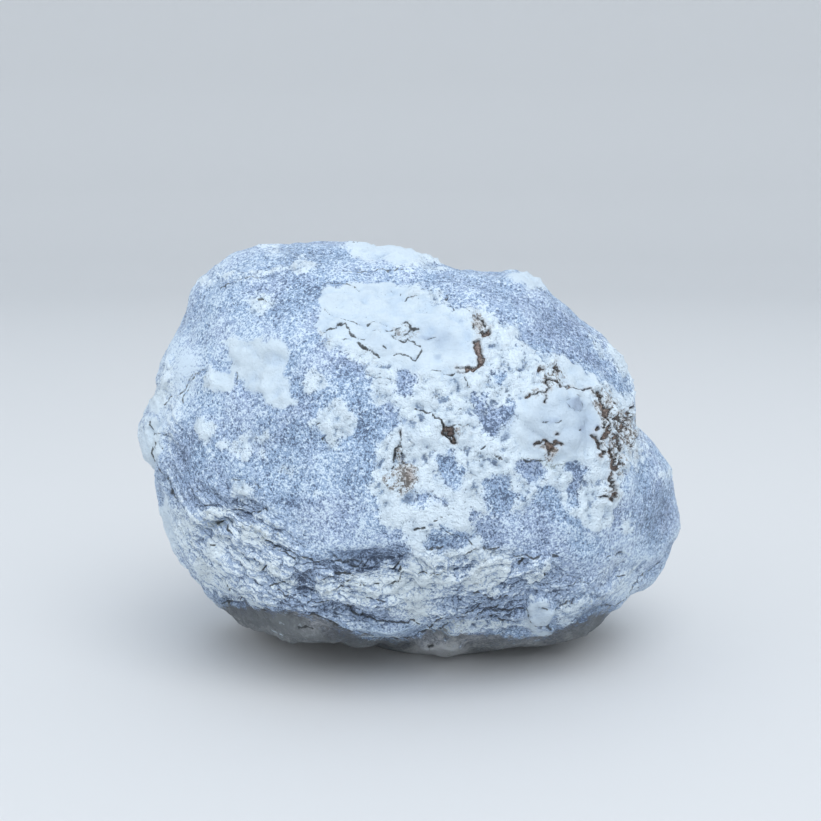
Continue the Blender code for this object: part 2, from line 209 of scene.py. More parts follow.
# Gentle shifts between blue and white, in millimetres: minus is bluer.
SHIFTS = (
    (7.6, 15.4, 1.8, 1.6, 0, -1.3), (5.2, 18.2, 1.6, 1.2, 0, -1.3), (9.4, 9.2, 1.8, 1.4, 0, -0.9),
    (9, -10.9, 2, 0.9, 0, -1.4), (19.2, -3.4, 2.2, 1.8, 0, -1.4), (13, -1, 2.4, 1.6, 0, -0.7),
    (-5.4, 1.6, 1.6, 2.4, 0, -0.9), (-4.8, -9.4, 2, 1.6, 0, -0.6), (16.6, 2.4, 1.6, 2.6, 0, -0.7),
    (4.6, 11, 2.4, 2, 0, -0.6), (30, -1.4, 1.8, 1.6, 0, -0.6), (36.4, 1, 2.4, 4.6, 0, -0.8),
    (-13, 18.4, 2.2, 1.6, 0, -0.8), (20.4, 14.4, 2.2, 1.6, 0, -0.4), (7.4, -21.4, 3.4, 1.6, 0, -0.8),
    (-13.4, 5.4, 0.7, 0.6, 0, -2.2), (-15.8, 3, 1.2, 0.8, 30, -0.9), (-10.4, 6.8, 1.1, 1, 0, -0.9),
    (-12, 2.6, 0.8, 0.7, 0, -0.8), (-35, 3.7, 0.9, 0.8, 0, -0.4), (-3, -22.2, 6, 2.2, 0, -0.3),
    (3.2, 20.6, 1.8, 1.2, 0, -0.8), (-28, 31.6, 7, 2.6, 0, -0.9),
)
# How pale the blue is there: minus is darker. Besides the stone's own tone it holds painted shade in the
# recess and along the lower rim, and painted light on the lower front and the foot.
PALENESS_LIGHT_AND_SHADE = (
    (-30, 17, 11, 5, 10, 0.8), (-40.5, 10, 3, 9, -12, 2), (-35, 8.4, 4, 3, 0, 0.5),
    (-13.6, 11, 2.6, 2.2, 0, 0.35), (-22.5, 22.6, 3, 2.6, 20, -0.8), (-17.5, 27, 4, 1.8, -8, -0.6),
    (-33, 17, 1.8, 2.6, 20, -0.5), (-11.8, 13.4, 3.2, 2, -10, -0.6), (-18.4, 8.2, 1.8, 4, 5, -0.6),
    (-8, 6.8, 2.4, 4.4, 0, -0.6), (-22, 2.8, 4.6, 2.8, 0, -0.35), (-9, -3, 3.2, 3.6, 0, -0.5),
    (-37, -4, 3.4, 6, 10, -0.7), (-23, -8.4, 7, 1.3, -4, -0.6), (-15, -3.2, 2.2, 2, 0, 0.6),
    (-20, -11.6, 6, 3, 0, 0.45), (-9.5, -11, 5, 2.6, 0, 0.25), (-27, -3.2, 4, 2.2, 0, 0.2),
    (-9, -18.6, 7.8, 2, 4, -0.75), (-18, -22, 1.8, 2.4, 10, -0.7), (-3.4, -17.4, 1.8, 3, 10, -0.6),
    (5.6, -26, 4.6, 2.6, 0, 0.15), (14.4, -26.4, 6, 1.9, 0, -0.8), (17, -22.6, 2.4, 2.2, 0, -0.1),
    (23.6, -22.2, 3.4, 1.8, -10, -0.5), (-7, -27, 6, 2, -14, -0.6), (24, 19.6, 3, 3.6, 30, -0.5),
    (9.8, 27.6, 4, 1.6, -6, -0.6), (20, 22.6, 6, 3, -30, -0.25), (28.4, 17, 2.4, 3.4, 30, -0.6),
    (33, 17, 2.6, 6, 30, -0.2), (18, -14.4, 6, 2.4, 0, 0.2), (29, -14.6, 3.2, 2.6, 0, 0.4),
    (34.6, -19.6, 5, 6, 30, 0.8), (34.2, -24.4, 4, 1.6, 35, 0.6), (39.4, -9.6, 3.4, 4.4, 0, -1.2),
    (-33, -16, 7, 5.6, -20, 0.75), (-24.6, -17.6, 5.6, 3.2, -20, 0.35), (-28.6, -21.4, 6, 3.2, -10, 0.8),
    (-30, -24.6, 3.4, 1.3, -10, -1.2), (-9, 30, 7, 2.2, 0, 0.5), (-2, 29.4, 4, 1.6, 0, 0.5),
    (-18, 32.6, 4, 1.8, 0, -0.4), (12, -28.6, 8, 1, 0, 0.6), (13.6, 5.4, 3.4, 3.6, 0, -0.75),
    (5.8, -3.8, 2.6, 3.2, 0, -0.65), (14.6, -7.6, 3, 3.8, 0, -0.45), (27.2, -4.6, 2.4, 3.6, 0, -1),
    (5, -15, 3.8, 1.9, 0, -0.35), (-2, 11.4, 1.6, 2.4, 0, -0.6), (21.5, -7.8, 2, 2, 0, -0.3),
    (37, -11, 4, 6, 0, 0.25), (18.9, -3.1, 1.8, 1.3, 0, -0.7), (29.6, -17.6, 3.6, 2, 0, -0.3),
    (13, -14.2, 2.6, 1.8, 0, -0.6), (-30, 26.6, 4, 1.4, 10, 0.1), (4.4, -33, 4.4, 1.5, 0, 1.8),
    (-16, -30.5, 8, 1.8, -16, -1), (27, -30, 6, 2, 12, -0.7), (12, -32.2, 5, 1, 0, -0.4),
    (-36, -18, 3, 4, 0, 0.5), (6, -3.6, 2.4, 3, 0, 0.3), (0, -24, 5, 4.2, 0, 1.3),
    (6, -21.6, 3.4, 1.8, 0, 0.6), (12, -20.8, 4.4, 1.8, 0, 1), (18, -24.8, 2.4, 1.4, 0, 0.5),
    (-18, -26.2, 5, 1.4, -12, -0.8), (-26, -27.6, 5, 1.6, -8, -1.2), (12, -30, 6, 0.8, 0, -0.5),
    (30, -27.6, 4, 1.2, 20, -0.8), (-30, -20.5, 3, 1.5, 0, -0.3), (-12, -30.2, 3, 0.8, -20, -0.8),
    (34, -24.4, 3, 1.4, 30, 0.5), (-30.6, 31, 4.6, 2.6, 12, 0.5), (-2, 11.2, 1.6, 2.4, 0, 0.4),
    (-22, -18, 3, 2.4, 0, 0.4), (26, -22.4, 3.4, 2, 0, 0.3),
)
# Soft hollows: depth in millimetres.
HOLLOWED = (
    (-9, -18.4, 7.6, 1.8, 4, 0.5), (-17.8, -21.9, 1.8, 2.2, 20, 0.6), (17.4, -18.8, 1.6, 1, 20, 0.5),
    (17, -23.2, 2.8, 1.2, 0, 0.5), (5, -15.2, 3.6, 1.4, -10, 0.4), (-24, -8.6, 5, 0.7, 0, 0.35),
    (-27.4, -10.2, 3.6, 0.6, 6, 0.4), (-34, -9.4, 2.2, 0.6, 0, 0.4), (-32.4, -12.4, 2, 0.6, 10, 0.6),
    (-29.6, -24.8, 2.6, 0.7, -8, 0.5), (13.6, -26.6, 4.6, 0.8, 2, 0.4), (33.6, -17.6, 1.8, 0.5, 6, 0.3),
    (-12, 13, 1.6, 2.4, 0, 0.25), (-2, 11.2, 1.4, 2.2, 0, 0.3), (13.6, 5.4, 2.4, 2.6, 0, 0.3),
    (6, -3.6, 1.9, 2.6, 0, 0.3), (14.6, -7.6, 2.4, 3.2, 0, 0.3), (27.2, -4.6, 1.8, 3, 0, 0.3),
    (10.4, 17, 1.2, 3, 0, 0.25), (32.6, 3.6, 1.8, 3.6, 0, 0.35), (6, 2.6, 1.2, 1.2, 0, 0.3),
)
# Lumps with a crisp edge: rise in millimetres.
RAISED = (
    (20.8, -26.7, 2.25, 2.45, 0, 0.75), (21.2, -30.2, 2.1, 0.8, 4, 0.5), (23.9, 4.4, 7.2, 6, 4, 0.45),
    (26.6, 7.4, 1.4, 1.4, 0, 0.1), (-35, 3.7, 1.7, 1.8, 0, 0.08), (-28.7, -7.2, 1.9, 1.6, 0, 0.12),
    (-33, -10.5, 2.3, 1.2, 5, 0.45), (-13.2, 4.9, 3.9, 3.2, 20, 0.12), (4.6, -32.6, 4, 1.5, 0, 0.5),
    (-16, -30.2, 4.8, 1.2, -12, 0.45), (6.2, -30.4, 1.2, 1, 0, 0.45), (20.8, -19.6, 2.1, 1.9, 20, 0.35),
    (18.4, 10.6, 2.4, 1.6, 20, 0.35), (1.6, 26.6, 3.2, 1.5, 8, 0.35), (-5, 18, 2.6, 1.8, -30, 0.25),
    (-33.4, -16.6, 2.2, 2.2, 20, 0.3), (26.4, -25.8, 2.6, 0.9, 12, 0.35), (-23, -22.6, 3.4, 1.6, 0, 0.3),
    (13, -19.2, 3, 1.6, 0, 0.3), (4.6, -21.4, 4.2, 1.5, 0, 0.3), (-8, -22, 4, 1.4, 6, 0.35),
    (27.2, -22.2, 1.7, 0.8, 0, 0.3), (-26.6, -13.6, 3, 1.4, -15, 0.3), (17.8, 28.8, 3.4, 1.7, 0, 0.35),
)
# Smooth, doughy ground, without crumbs.
SMOOTHNESS = (
    (-26, 12.6, 7.4, 7, 10, 1), (-6.4, 22.6, 10, 6.4, -4, 1), (4.6, 17.6, 6.6, 6, 0, 0.75),
    (23.4, 4.4, 7.6, 6.6, 0, 1.1), (27, 12.4, 4.4, 2.2, -14, 0.8), (-35, 3.7, 1.9, 1.9, 0, 0.25),
    (-29.6, 0.3, 3.6, 1.5, 0, 0.25), (-28.7, -7.2, 2, 1.8, 0, 0.35), (20.8, -26.8, 3, 3, 0, 1),
    (21.2, -30.2, 2.4, 1.1, 0, 1), (30, -10.4, 2.4, 1.6, 0, 0.3), (17.8, 28.8, 3.6, 2.2, 0, 0.8),
    (-43.6, 1, 2.4, 9, -4, 0.7), (-41.4, -13, 2.2, 6, 4, 0.7), (-28, 32, 6, 2.6, 0, 0.6),
    (-33.2, -16.4, 3.2, 3.4, 20, 0.35), (-29, -22, 4, 2.4, 0, 0.2), (28.6, -14.4, 3, 2.6, 0, 0.6),
    (-5, 33, 9, 2.4, 0, 0.6), (4, -32.6, 8, 2.4, 0, 1), (-16, -30.6, 9, 2.2, -16, 0.9),
    (14, -32, 10, 1.8, 4, 0.8), (-2, 17, 4, 3, 0, 0.5), (-13, 5, 4.4, 4, 0, 0.15),
)
# Clear, greyer stone under a thin skin of white.
CLEARNESS = (
    (23.6, 4.2, 6.4, 5.6, 0, 0.55), (26.6, 7.4, 1.5, 1, 0, 1), (28.8, 4, 2.2, 4.2, 0, 0.35),
    (1.4, 18.6, 4.6, 2.6, 10, 0.45), (5.6, 17.4, 2.6, 2.2, -40, 0.5), (-6.4, 17.6, 3.6, 1.8, -30, 0.4),
    (20.8, -26.8, 2.6, 2.6, 0, 0.6), (22.4, 4.8, 1.4, 0.4, 8, 0.5), (30.2, 3.6, 0.5, 0.4, 0, 0.7),
    (27.2, 3.3, 0.5, 0.4, 0, 0.6), (-17.2, 18.6, 0.6, 1, 0, 0.7), (-18, 21, 1, 0.6, 30, 0.6),
    (-7.4, 26.8, 1.6, 0.5, 0, 0.5), (-10.7, 25, 0.5, 0.3, 0, 0.6), (-4.6, 24.4, 0.6, 0.3, 10, 0.4),
    (-9, 20.8, 1, 0.4, -20, 0.5), (3.6, 15.4, 0.7, 0.5, 0, 0.8), (1.9, 18.6, 1, 0.5, 0, 0.6),
    (-1, 12.8, 2, 1.2, 0, 0.4), (-5.4, 11.8, 2.4, 0.5, -8, 0.4),
)
# Greenish-grey earth in hollows.
EARTH = (
    (-34.6, -12.8, 2, 1.5, 0, 0.5), (-32.6, -12.4, 1.8, 0.6, 12, 0.8), (-25, -13, 4.4, 1.6, -8, 0.4),
    (34.4, -17.5, 1.6, 0.6, 5, 0.6), (22.6, -2.3, 3.6, 0.7, -6, 0.8), (19.6, -3.4, 1.6, 1.2, 0, 0.5),
    (-1.9, 5.2, 1.3, 0.5, 10, 0.5), (30.4, -26.8, 3, 1.2, 12, 0.6), (5.6, -29, 4, 0.9, 10, 0.6),
    (-31.6, -26, 2.6, 1, -12, 0.6), (-4, -32, 4, 1, 0, 0.5), (-23, -28, 5, 1.2, -12, 0.5),
    (6, -32.2, 1.6, 1.2, 0, 0.5),
)
# Brown earth clinging beside the cracks.
STAINS = (
    (-2.8, -4.6, 3.2, 2.1, 0, 0.75), (-0.8, -4, 1.3, 1.4, 20, 1), (22.7, 0.6, 0.7, 0.6, 0, 0.9),
    (-2.7, -0.9, 0.8, 1.8, 0, 0.6), (6, 3.2, 1.7, 1.4, 0, 0.7), (22.7, -0.2, 1, 1.5, 8, 0.8),
    (22.2, 0.8, 2, 0.9, 0, 0.5), (10.8, 20.8, 1.4, 1.9, 0, 0.8), (0, 25.8, 1.6, 1.5, 0, 0.25),
    (33.4, 3.6, 2.6, 4, 0, 0.65), (31.4, 8.2, 1.6, 2.2, 0, 0.6), (33.2, -1.8, 2.2, 2, 0, 0.65),
    (22.4, 11.8, 2.6, 2.4, 0, 0.6), (-1.4, 19.4, 2.8, 1.9, 0, 0.4), (-14.8, 18.8, 1.4, 2.2, 0, 0.35),
    (36.4, 3.4, 1.6, 3.4, 0, 0.5), (19.6, 9, 2.2, 1.1, 0, 0.4), (12.4, 16.6, 1.2, 3, 0, 0.25),
    (32.6, -7.4, 1.8, 1.4, 0, 0.5), (-7.6, 16, 2.4, 1.4, -35, 0.3),
)

# -------- lines: a half width, and then points
# Cracks on the front, filled with brown earth.
BROWN_CRACKS = {"front": (
    (0.17, 10.3, 22.5, 11, 21.9, 11.5, 21.2, 11.8, 20.5), (0.24, 10.3, 22.5, 10.6, 22.3),
    (0.46, 11.3, 19.4, 12, 19.4), (0.62, 10.2, 18.4, 10.4, 17.6, 10.7, 16.8, 11, 15.8),
    (0.7, 11.1, 15.8, 11.2, 15), (0.44, 11.2, 14.4, 10.6, 13.9, 9.6, 13.7, 8.8, 13.5),
    (0.14, 8.8, 13.5, 7.8, 13.6, 6.8, 13.6), (0.11, 8.8, 13.1, 8, 12.8, 7, 12.9),
    (0.22, 4.6, 4.2, 4.7, 3.1, 5.3, 2.3, 6.1, 1.6, 6.8, 1.2), (0.46, 5.2, 3.5, 6.2, 3.4, 6.1, 2.6, 5.6, 2.8),
    (0.28, 6.2, 2.4, 6.8, 1.6), (0.2, -2.4, 2.9, -2.4, 2.6),
    (0.2, 20.3, 13.2, 21.3, 12.9, 21.8, 12.3, 21.9, 11.5, 21.9, 10.6, 21.6, 9.9),
    (0.22, 22.8, 12.6, 23.4, 13.2), (0.34, 23.2, 13.5, 23.7, 13.1), (0.11, 23.2, 14.6, 23.1, 13.8),
    (0.3, 22, 12, 22.6, 11.4, 23.3, 11, 24.1, 10.4),
    (0.16, 24.1, 10.3, 25, 10.5, 25.8, 10.5, 26.6, 10.2, 27.2, 9.9, 28, 10.3, 29, 10.2),
    (0.3, 29.4, 9.8, 30.1, 9.3), (0.13, 21.6, 9.8, 21, 9.4, 20.2, 9.3, 19.4, 9.1), (0.26, 19, 9.1, 18.5, 8.8),
    (0.16, 21.3, 9, 21.6, 8.2, 21.3, 7.6), (0.29, 30.7, 9.7, 31, 9, 30.8, 8.2),
    (0.49, 30.9, 8.2, 31.3, 7.4, 31.8, 6.6), (0.22, 31.8, 6.6, 32.2, 5.4, 32.4, 4.6),
    (0.49, 32.4, 4.2, 32, 3, 31.7, 2.1), (0.31, 30.4, 3.6, 30, 3.2),
    (0.24, 33.2, 5.4, 33, 4.4, 33.4, 3.4, 33.2, 2.6), (0.12, 34.4, 6.2, 34.8, 5.2, 35.2, 4, 35, 3),
    (0.2, 31, 5.4, 31.4, 4.6, 31.2, 3.8),
    (0.26, 33.5, 5.6, 33.8, 4.8, 34.5, 4.4, 35, 4.8, 35.3, 5.6, 36, 6.8, 36.2, 7.3),
    (0.39, 34.6, 4.3, 34.4, 3.4, 33.8, 2.6, 33.3, 2), (0.17, 33.6, 2, 33.8, 1, 34.1, 0, 34.1, -0.8),
    (0.31, 35.8, 5.2, 36.4, 4.2, 37, 3.4, 37.5, 3), (0.31, 37, 2.2, 37.4, 2.2),
    (0.13, 36.2, 1.2, 35.8, 0.4, 36, -0.4), (0.13, 37, 0.1, 37.2, -1.2),
    (0.16, 32.6, 8.4, 33.2, 7.4, 33.5, 6.2), (0.26, 29.4, 2.2, 30.2, 1.7, 30.8, 1, 31, 0.1),
    (0.44, 30.5, -1.1, 31.2, -0.5), (0.49, 32.4, -0.2, 32.8, -1.2, 33, -2.2, 33, -3),
    (0.39, 33.4, -3.2, 34.2, -2.6, 34.6, -2.2),
    (0.2, 32.5, -3.2, 32.5, -4.7, 32.7, -5.6, 33.1, -6.4, 33, -7.4), (0.42, 32.9, -7.2, 32.8, -8),
    (0.21, 32.6, -8, 31.8, -7.8, 31, -7.8), (0.16, 19.9, 0.8, 20.4, 1.2, 21.1, 1.5),
    (0.26, 21.1, 1.5, 22, 1.4, 22.6, 1.1), (0.22, 22.8, 1.1, 23.6, 1.3), (0.26, 23.6, 1.2, 24.1, 1),
    (0.46, 22.1, 1.1, 22.6, 0.8, 22.4, 0.3), (0.3, 22.3, 0.2, 22.1, -0.3), (0.2, 22.2, -0.3, 22, -1),
    (0.2, 23.1, 2.5, 23.4, 2.6),
)}
# Fine dark cracks and creases, some of them painted shadow lines: along the lower rim, under fold ledges and
# beside the white's soft ridges.
CREASES = {
    "front": (
        (0.11, -15.2, 19.8, -14.8, 20.1, -14, 20.3, -13.2, 20.6, -12.6, 21, -12, 20.9, -11.5, 20.5, -11, 19.9,
         -10.6, 19.3, -10.2, 18.9, -9.8, 18.8, -8.6, 18.6),
        (0.13, -9.3, 18, -8.8, 17.3, -8.3, 17, -7.8, 16.4, -7.2, 15.9, -6.6, 15.5, -6, 15.4),
        (0.21, -8.5, 17.1, -8.1, 16.7), (0.19, -7, 15.7, -6.4, 15.5),
        (0.15, -2, 21.4, -1.3, 21.5, -1, 21, -0.6, 20.6, -0.6, 20.1, -0.9, 19.6, -1.3, 19.2, -1.8, 19),
        (0.14, -0.6, 20.2, 0, 20.2, 0.6, 20.1),
        (0.13, -3.3, 18.3, -2.8, 17.8, -2.2, 17.6, -1.5, 17.7, -1, 17.9, -0.4, 17.6, 0.2, 17.3, 0.7, 17,
         0.9, 16.4), (0.14, 0.9, 16.4, 0.9, 15.9, 0.6, 15.3, 0.2, 14.9, -0.2, 14.7, -0.7, 15),
        (0.24, 0.5, 15.2, 0.1, 14.8), (0.05, -14.9, 19.9, -14.9, 18.8),
        (0.09, -15, 17.9, -14.2, 17.5, -13.9, 17), (0.05, -10.2, 18.9, -10.5, 18.2, -11, 18.1, -12, 18.1),
        (0.1, -2.4, 20.3, -2.9, 19.9, -3.3, 19.6, -3.2, 19.2, -3.9, 19, -3.4, 18.4),
        (0.12, -0.7, 15.1, -1.2, 15.3, -1.9, 15.4, -2.6, 15.6, -3.3, 15.7),
        (0.06, 10.2, 22.3, 9.8, 21.3, 9.7, 20.4),
        (0.11, 2.8, 12.9, 3.6, 13, 4.4, 13, 5, 12.7, 5.7, 12.6, 6.4, 12.9),
        (0.13, 8.2, 12, 8.6, 11.4, 9.1, 10.6), (0.07, -1.3, 24.9, -0.7, 25.2, 0, 25.3, 0.7, 25.2),
        (0.15, -1.5, 24.7, -1.3, 24.9), (0.12, -0.3, 6.7, 0.4, 6.8, 1.2, 6.7, 2, 6.4, 2.6, 6.3, 3, 5.9),
        (0.2, 3, 5.9, 3.3, 5.3, 4.2, 4.9, 4.5, 4.2), (0.12, 6.3, 3.9, 7.2, 4.3, 8.1, 4.1, 9, 4.3),
        (0.13, -2.4, 3.2, -2.4, 2.6, -2.3, 1.7, -2.4, 1, -3.1, 0.1, -3.4, -1.2, -3.3, -2.3, -3.9, -3.2),
        (0.12, -2.4, 1, -2, 0.3, -2.2, -1, -2.3, -1.9, -1.7, -2.1), (0.24, -5.15, 17.05, -4.95, 16.9),
        (0.12, -26, 25.2, -24.8, 24.9), (0.1, -16.3, 4.1, -15.7, 4.5), (0.1, -15.8, 1.8, -15, 2.3),
        (0.16, -0.2, -13.4, 0.5, -13.2, 1.4, -13.1), (0.18, -34.1, -15.7, -33.5, -15.7),
        (0.08, 3, -11.7, 4, -11.1, 4.5, -11), (0.14, -3.7, -19.8, -2.8, -19),
        (0.14, -2.9, -20.3, -2.3, -19.4), (0.1, -4, -22.3, -2.6, -21.1, -2.3, -20.4),
        (0.12, 17.8, -1.3, 18.7, -1.9, 19.6, -1.9), (0.1, 13.3, -0.6, 14.6, -1.7),
        (0.07, 0, -6.9, 2.4, -7.8, 5, -8.6), (0.08, 5, -13.4, 7, -14.4, 8.5, -15, 9.8, -15.8),
        (0.1, 1.8, -16, 2.4, -16.6, 5, -16.2), (0.08, 8.5, -17, 10.5, -16.5, 12, -16.6, 13.4, -17.1),
        (0.09, 0.5, -20.3, 3, -20, 4.3, -20.4),
        (0.09, -17.2, -19.2, -15, -18.8, -13, -18.9, -10, -18.6, -7.6, -19.2),
        (0.15, -13.3, -20.6, -11.8, -20.3, -10.4, -20.8),
        (0.11, -18, -25.4, -14, -25.5, -12, -26, -10, -27.5, -8, -28, -5, -28.7, -2, -28.8, 0, -28.8,
         2, -29.5, 4, -28.6, 6, -27.8, 8, -27.9, 10, -27, 11.6, -25.6),
        (0.12, 10.4, -23.6, 12, -24.8, 14.2, -24.9, 15.4, -24.5), (0.11, 12.2, -26.8, 15, -27, 18, -26.6),
        (0.1, 12, -28, 15.4, -28.3), (0.1, 16, -17.8, 17.5, -18, 18.8, -17.7, 19.8, -18.4, 21, -18),
        (0.2, 17.3, -19.2, 18.2, -18.6), (0.2, 21.3, -20.6, 21.5, -20.5), (0.12, 12.4, -16.6, 14, -16.3),
        (0.12, 22.8, -17.8, 24, -17.6), (0.08, 32, -17.9, 33, -17.6, 35, -17.3),
        (0.12, 33.7, -20.9, 34.7, -20.7), (0.05, 23.3, -19.4, 24.5, -20.2, 26, -21.3, 27.6, -21.2, 29, -21.8),
        (0.07, 25.6, -22.7, 26.8, -21.9, 28, -21.8, 29.2, -22.5), (0.15, 20.6, -25.9, 21.7, -25.9),
        (0.12, 19.4, -29.6, 20.6, -29.2, 21.6, -29.3, 22.6, -29.8),
        (0.07, 18.4, -26.4, 18.9, -28.2, 20, -29.1, 21.2, -29, 22.4, -28.2, 23.1, -26.6),
        (0.08, -14.6, -17.2, -12, -19, -8, -19.3, -4.6, -19),
        (0.07, 39.3, -20, 38, -21.3, 37.2, -22.2, 36.3, -23.5, 35, -25, 33.5, -26, 31.4, -26.5),
        (0.05, 40.8, -18.8, 38.6, -21.6, 37.4, -23.4),
        (0.09, 22.8, -28, 23.4, -26.6, 24.4, -26, 25.4, -25.2, 26.4, -24.8),
        (0.1, -24.2, -22.5, -22.5, -22.2, -21, -22.6), (0.09, -23, -23.4, -21.4, -24.4),
        (0.09, -32.9, -21.4, -31.5, -23.4, -30.4, -24.6), (0.14, -25.8, -20.6, -25.2, -19.6),
        (0.15, -33.4, -12.6, -31.8, -12.2), (0.1, -31.6, -13, -30.2, -13.8),
        (0.08, -36.3, -9.5, -35, -9, -32.8, -8.9),
        (0.08, -30.6, -9.7, -28.4, -10.4, -26.3, -10.3, -24.5, -9.7),
        (0.06, -37.6, -6.2, -36.9, -6.9, -35, -6.9), (0.06, -30.6, -4.9, -27.8, -5.1, -26.3, -6, -25.4, -6.7),
        (0.1, -24.4, -16, -22, -17, -20, -18.4),
        (0.09, -44.4, 4.9, -43.7, 3.1, -43.3, 2.2, -43.5, 1, -43.7, -1.2, -43, -3, -42.1, -3.8, -41.5, -4.7,
         -40.8, -7.3, -39.6, -8.7), (0.06, -43.4, 2.7, -40.8, 2.7), (0.07, -43, 1.4, -41.9, -0.1),
        (0.05, -39.3, 8.1, -37.6, 11.4, -36.3, 12.7, -35, 13.2), (0.1, -41.9, 7.5, -41, 9),
        (0.22, 2.4, -32.4, 3.2, -32.1), (0.17, -19.2, -29.2, -18.2, -29.4, -17, -29.4),
        (0.08, -29.8, 13, -29.6, 11),
        (0.03, 28.3, 7.4, 28, 8, 27.4, 8.4, 26.6, 8.5, 25.8, 8.4, 25.2, 8, 24.9, 7.4, 25.2, 6.8, 25.8, 6.4,
         26.6, 6.3, 27.4, 6.4, 28, 6.8, 28.3, 7.4), (0.15, 27.1, 3.3, 27.3, 3.5),
        (0.1, 19, -1.4, 20.4, -1.7, 21.8, -1.5), (0.07, 23, 4.7, 24, 4.6), (0.08, 21.2, 4.5, 22.4, 4.9),
        (0.05, -15, 23.4, -13.5, 22.3, -11.6, 21.6, -10, 20.9, -8.9, 20.5),
        (0.05, -8, 20.9, -6.2, 21.2, -4.6, 20.9), (0.05, -7, 19.8, -5.8, 19.5), (0.05, -5, 20, -3.5, 20),
        (0.06, -8.3, 12.6, -6.5, 12.1, -5, 11.8, -4, 12.1), (0.12, 5, 25.6, 5.4, 26),
        (0.07, 5.6, 24.6, 6.2, 23.8, 6.6, 23.2), (0.06, 8.4, 23.4, 9.6, 22.4), (0.11, -2.6, 25.9, -2.5, 25.7),
        (0.06, -15, 28.2, -12.5, 27.9, -10.5, 27.2, -9.2, 26.6),
        (0.05, -12, 30.2, -8, 30, -5, 30.1, -2, 29.9),
        (0.05, -33, 26.6, -31.6, 27.8, -30, 28.4, -27.4, 28.6, -25.6, 28.9),
        (0.05, -35.2, 13.4, -37, 12.6, -38.6, 10.4, -40, 8.6), (0.12, 7.4, 7, 7.5, 6.9),
        (0.1, 13.4, -0.6, 14.2, -1.8), (0.09, 11, 0, 11.7, 0.5), (0.1, 1.6, 18.3, 2.6, 18.6, 3.4, 18.4),
        (0.11, -28.2, -25.2, -26, -26.1, -24, -26.7, -20, -27.3, -16.2, -27.9, -14.8, -28.4, -13.4, -29.4,
         -11.5, -30.2, -9, -30.9, -6.5, -31.5, -4, -31.7, -2, -31.5, 0, -31, 2, -30.4, 4, -29.7, 6, -28.8,
         8, -28.4), (0.1, -34.8, -25.3, -32.5, -25.7, -30, -25.5, -28.2, -25.2),
        (0.1, -25, -15.2, -22.5, -16.2, -20, -17.3, -18, -18, -16.3, -19.2),
        (0.09, -16, -21.6, -13.5, -21, -12, -22, -10.8, -21.7, -9, -22.2, -6, -22.3),
        (0.09, -13.8, -23.4, -12, -22.9, -10.4, -23.1), (0.1, -8, -24.6, -6.4, -24.8, -5, -25.1),
        (0.1, 9.6, -23.6, 12, -24.2), (0.11, 10, -28.2, 12, -26.8, 14, -26.2),
    ),
    "back": (
        (0.2, -14, 24, -11.5, 18, -14.5, 11, -10.5, 4, -12, -3), (0.13, -14.5, 11, -18, 8, -19, 5),
        (0.13, 8, -6, 14, -8, 17, -7),
    ),
    "right": (
        (0.14, -2, 2, 2, 4.6, 7, 4, 10, 6.4), (0.12, 2, 4.6, 3, 9),
    ),
    "left": (
        (0.14, -6, 14, -2, 11, 3, 12, 7, 9.6), (0.12, 12, -6, 17, -8),
    ),
    "top": (
        (0.16, -12, -2, -10, 3, -13.6, 8, -12, 14), (0.12, 6, 6, 11, 8),
    ),
}

# -------- folded layers and relief, in millimetres
# A layer's sag at a distance from its lowest place: shares of the distance's second and seventh powers.
LAYER_LOWEST = 2
LAYER_SAG = (0.006, 4.14e-11)
LAYER_SPAN = 40
LAYER_DIP = 0.12
# Where the layers show, and how strongly.
FOLDS = {
    "front": (
        (-29, -18, 11, 9, -20, 1.1), (-6, -23.5, 17, 5.6, 4, 1.3), (14, -25, 12, 5.6, 6, 1.2),
        (-42, 3, 3.4, 12, 4, 0.6), (33, -22, 5, 3.4, 30, 0.6), (-26, 31, 10, 3, 6, 0.3),
        (-34, -9, 8, 3.6, 0, 0.5), (12, -18.6, 9, 2.6, 0, 0.6),
    ),
    "right": (
        (9, -21.5, 24, 5, 0, 0.35),
    ),
    "left": (
        (0, -16, 28, 11, 0, 0.8),
    ),
    "back": (
        (0, -19, 36, 9, 0, 0.8), (-20, 10, 12, 8, 20, 0.5),
    ),
    "top": (
        (14, 10, 14, 8, 20, 0.4),
    ),
}
RELIEF = {
    "Rag Size": 2.3, "Rag": 0.72, "White Rise": 0.20, "Dough Size": 2.8, "Dough Height": 0.55,
    "Crumb Size": 1.1, "Crumb Height": 0.26, "Clump Size": 2.2, "Clump Height": 0.42, "Sugar Size": 1.4,
    "Sugar Height": 0.13, "Swell Size": 6, "Swell Height": 0.45, "Fold Size": 3.2, "Fold Height": 0.60,
    "Wrinkle Size": 1.45, "Wrinkle Height": 0.46, "Patch Size": 6, "Bend Size": 9, "Layer Warp": 1.6,
    "Crack Depth": 0.75, "Fill Rise": 0.45, "Crease Depth": 0.30, "Uneven Size": 0.6, "Waver Size": 1.7,
}
FOLD_STRETCH = 0.32
WRINKLE_STRETCH = 0.42
CRACK_SHAKE = 0.08
# How relief sets in: from where to where, and in some from what share to what share.
DOUGHY = (0.1, 0.8)
WHITE_RISES = (-0.35, 0.75)
WRINKLE_PATCHES = (-0.6, 0.5, 0.3, 1)
CRACK_WALL = (-0.06, 0.20)
CRACK_FILL = (0.16, 0.42)
CREASE_WALL = (-0.20, 0.22)
CRACK_NARROWED = 0.045
CLUMP_EDGE = 0.55
SWELL_LOWERED = 0.2
# The white's reach where it crumbles, and its ragged edge where it is smooth.
CRUMBLY_REACH = 0.55
SMOOTH_RAG = 0.5
# What is left of folds where the stone is smooth, and of folds and chalk on the underside.
SMOOTH_FOLDS = 0.2
UNDER_FOLDS = 0.15
UNDER_CHALKY = 0.35
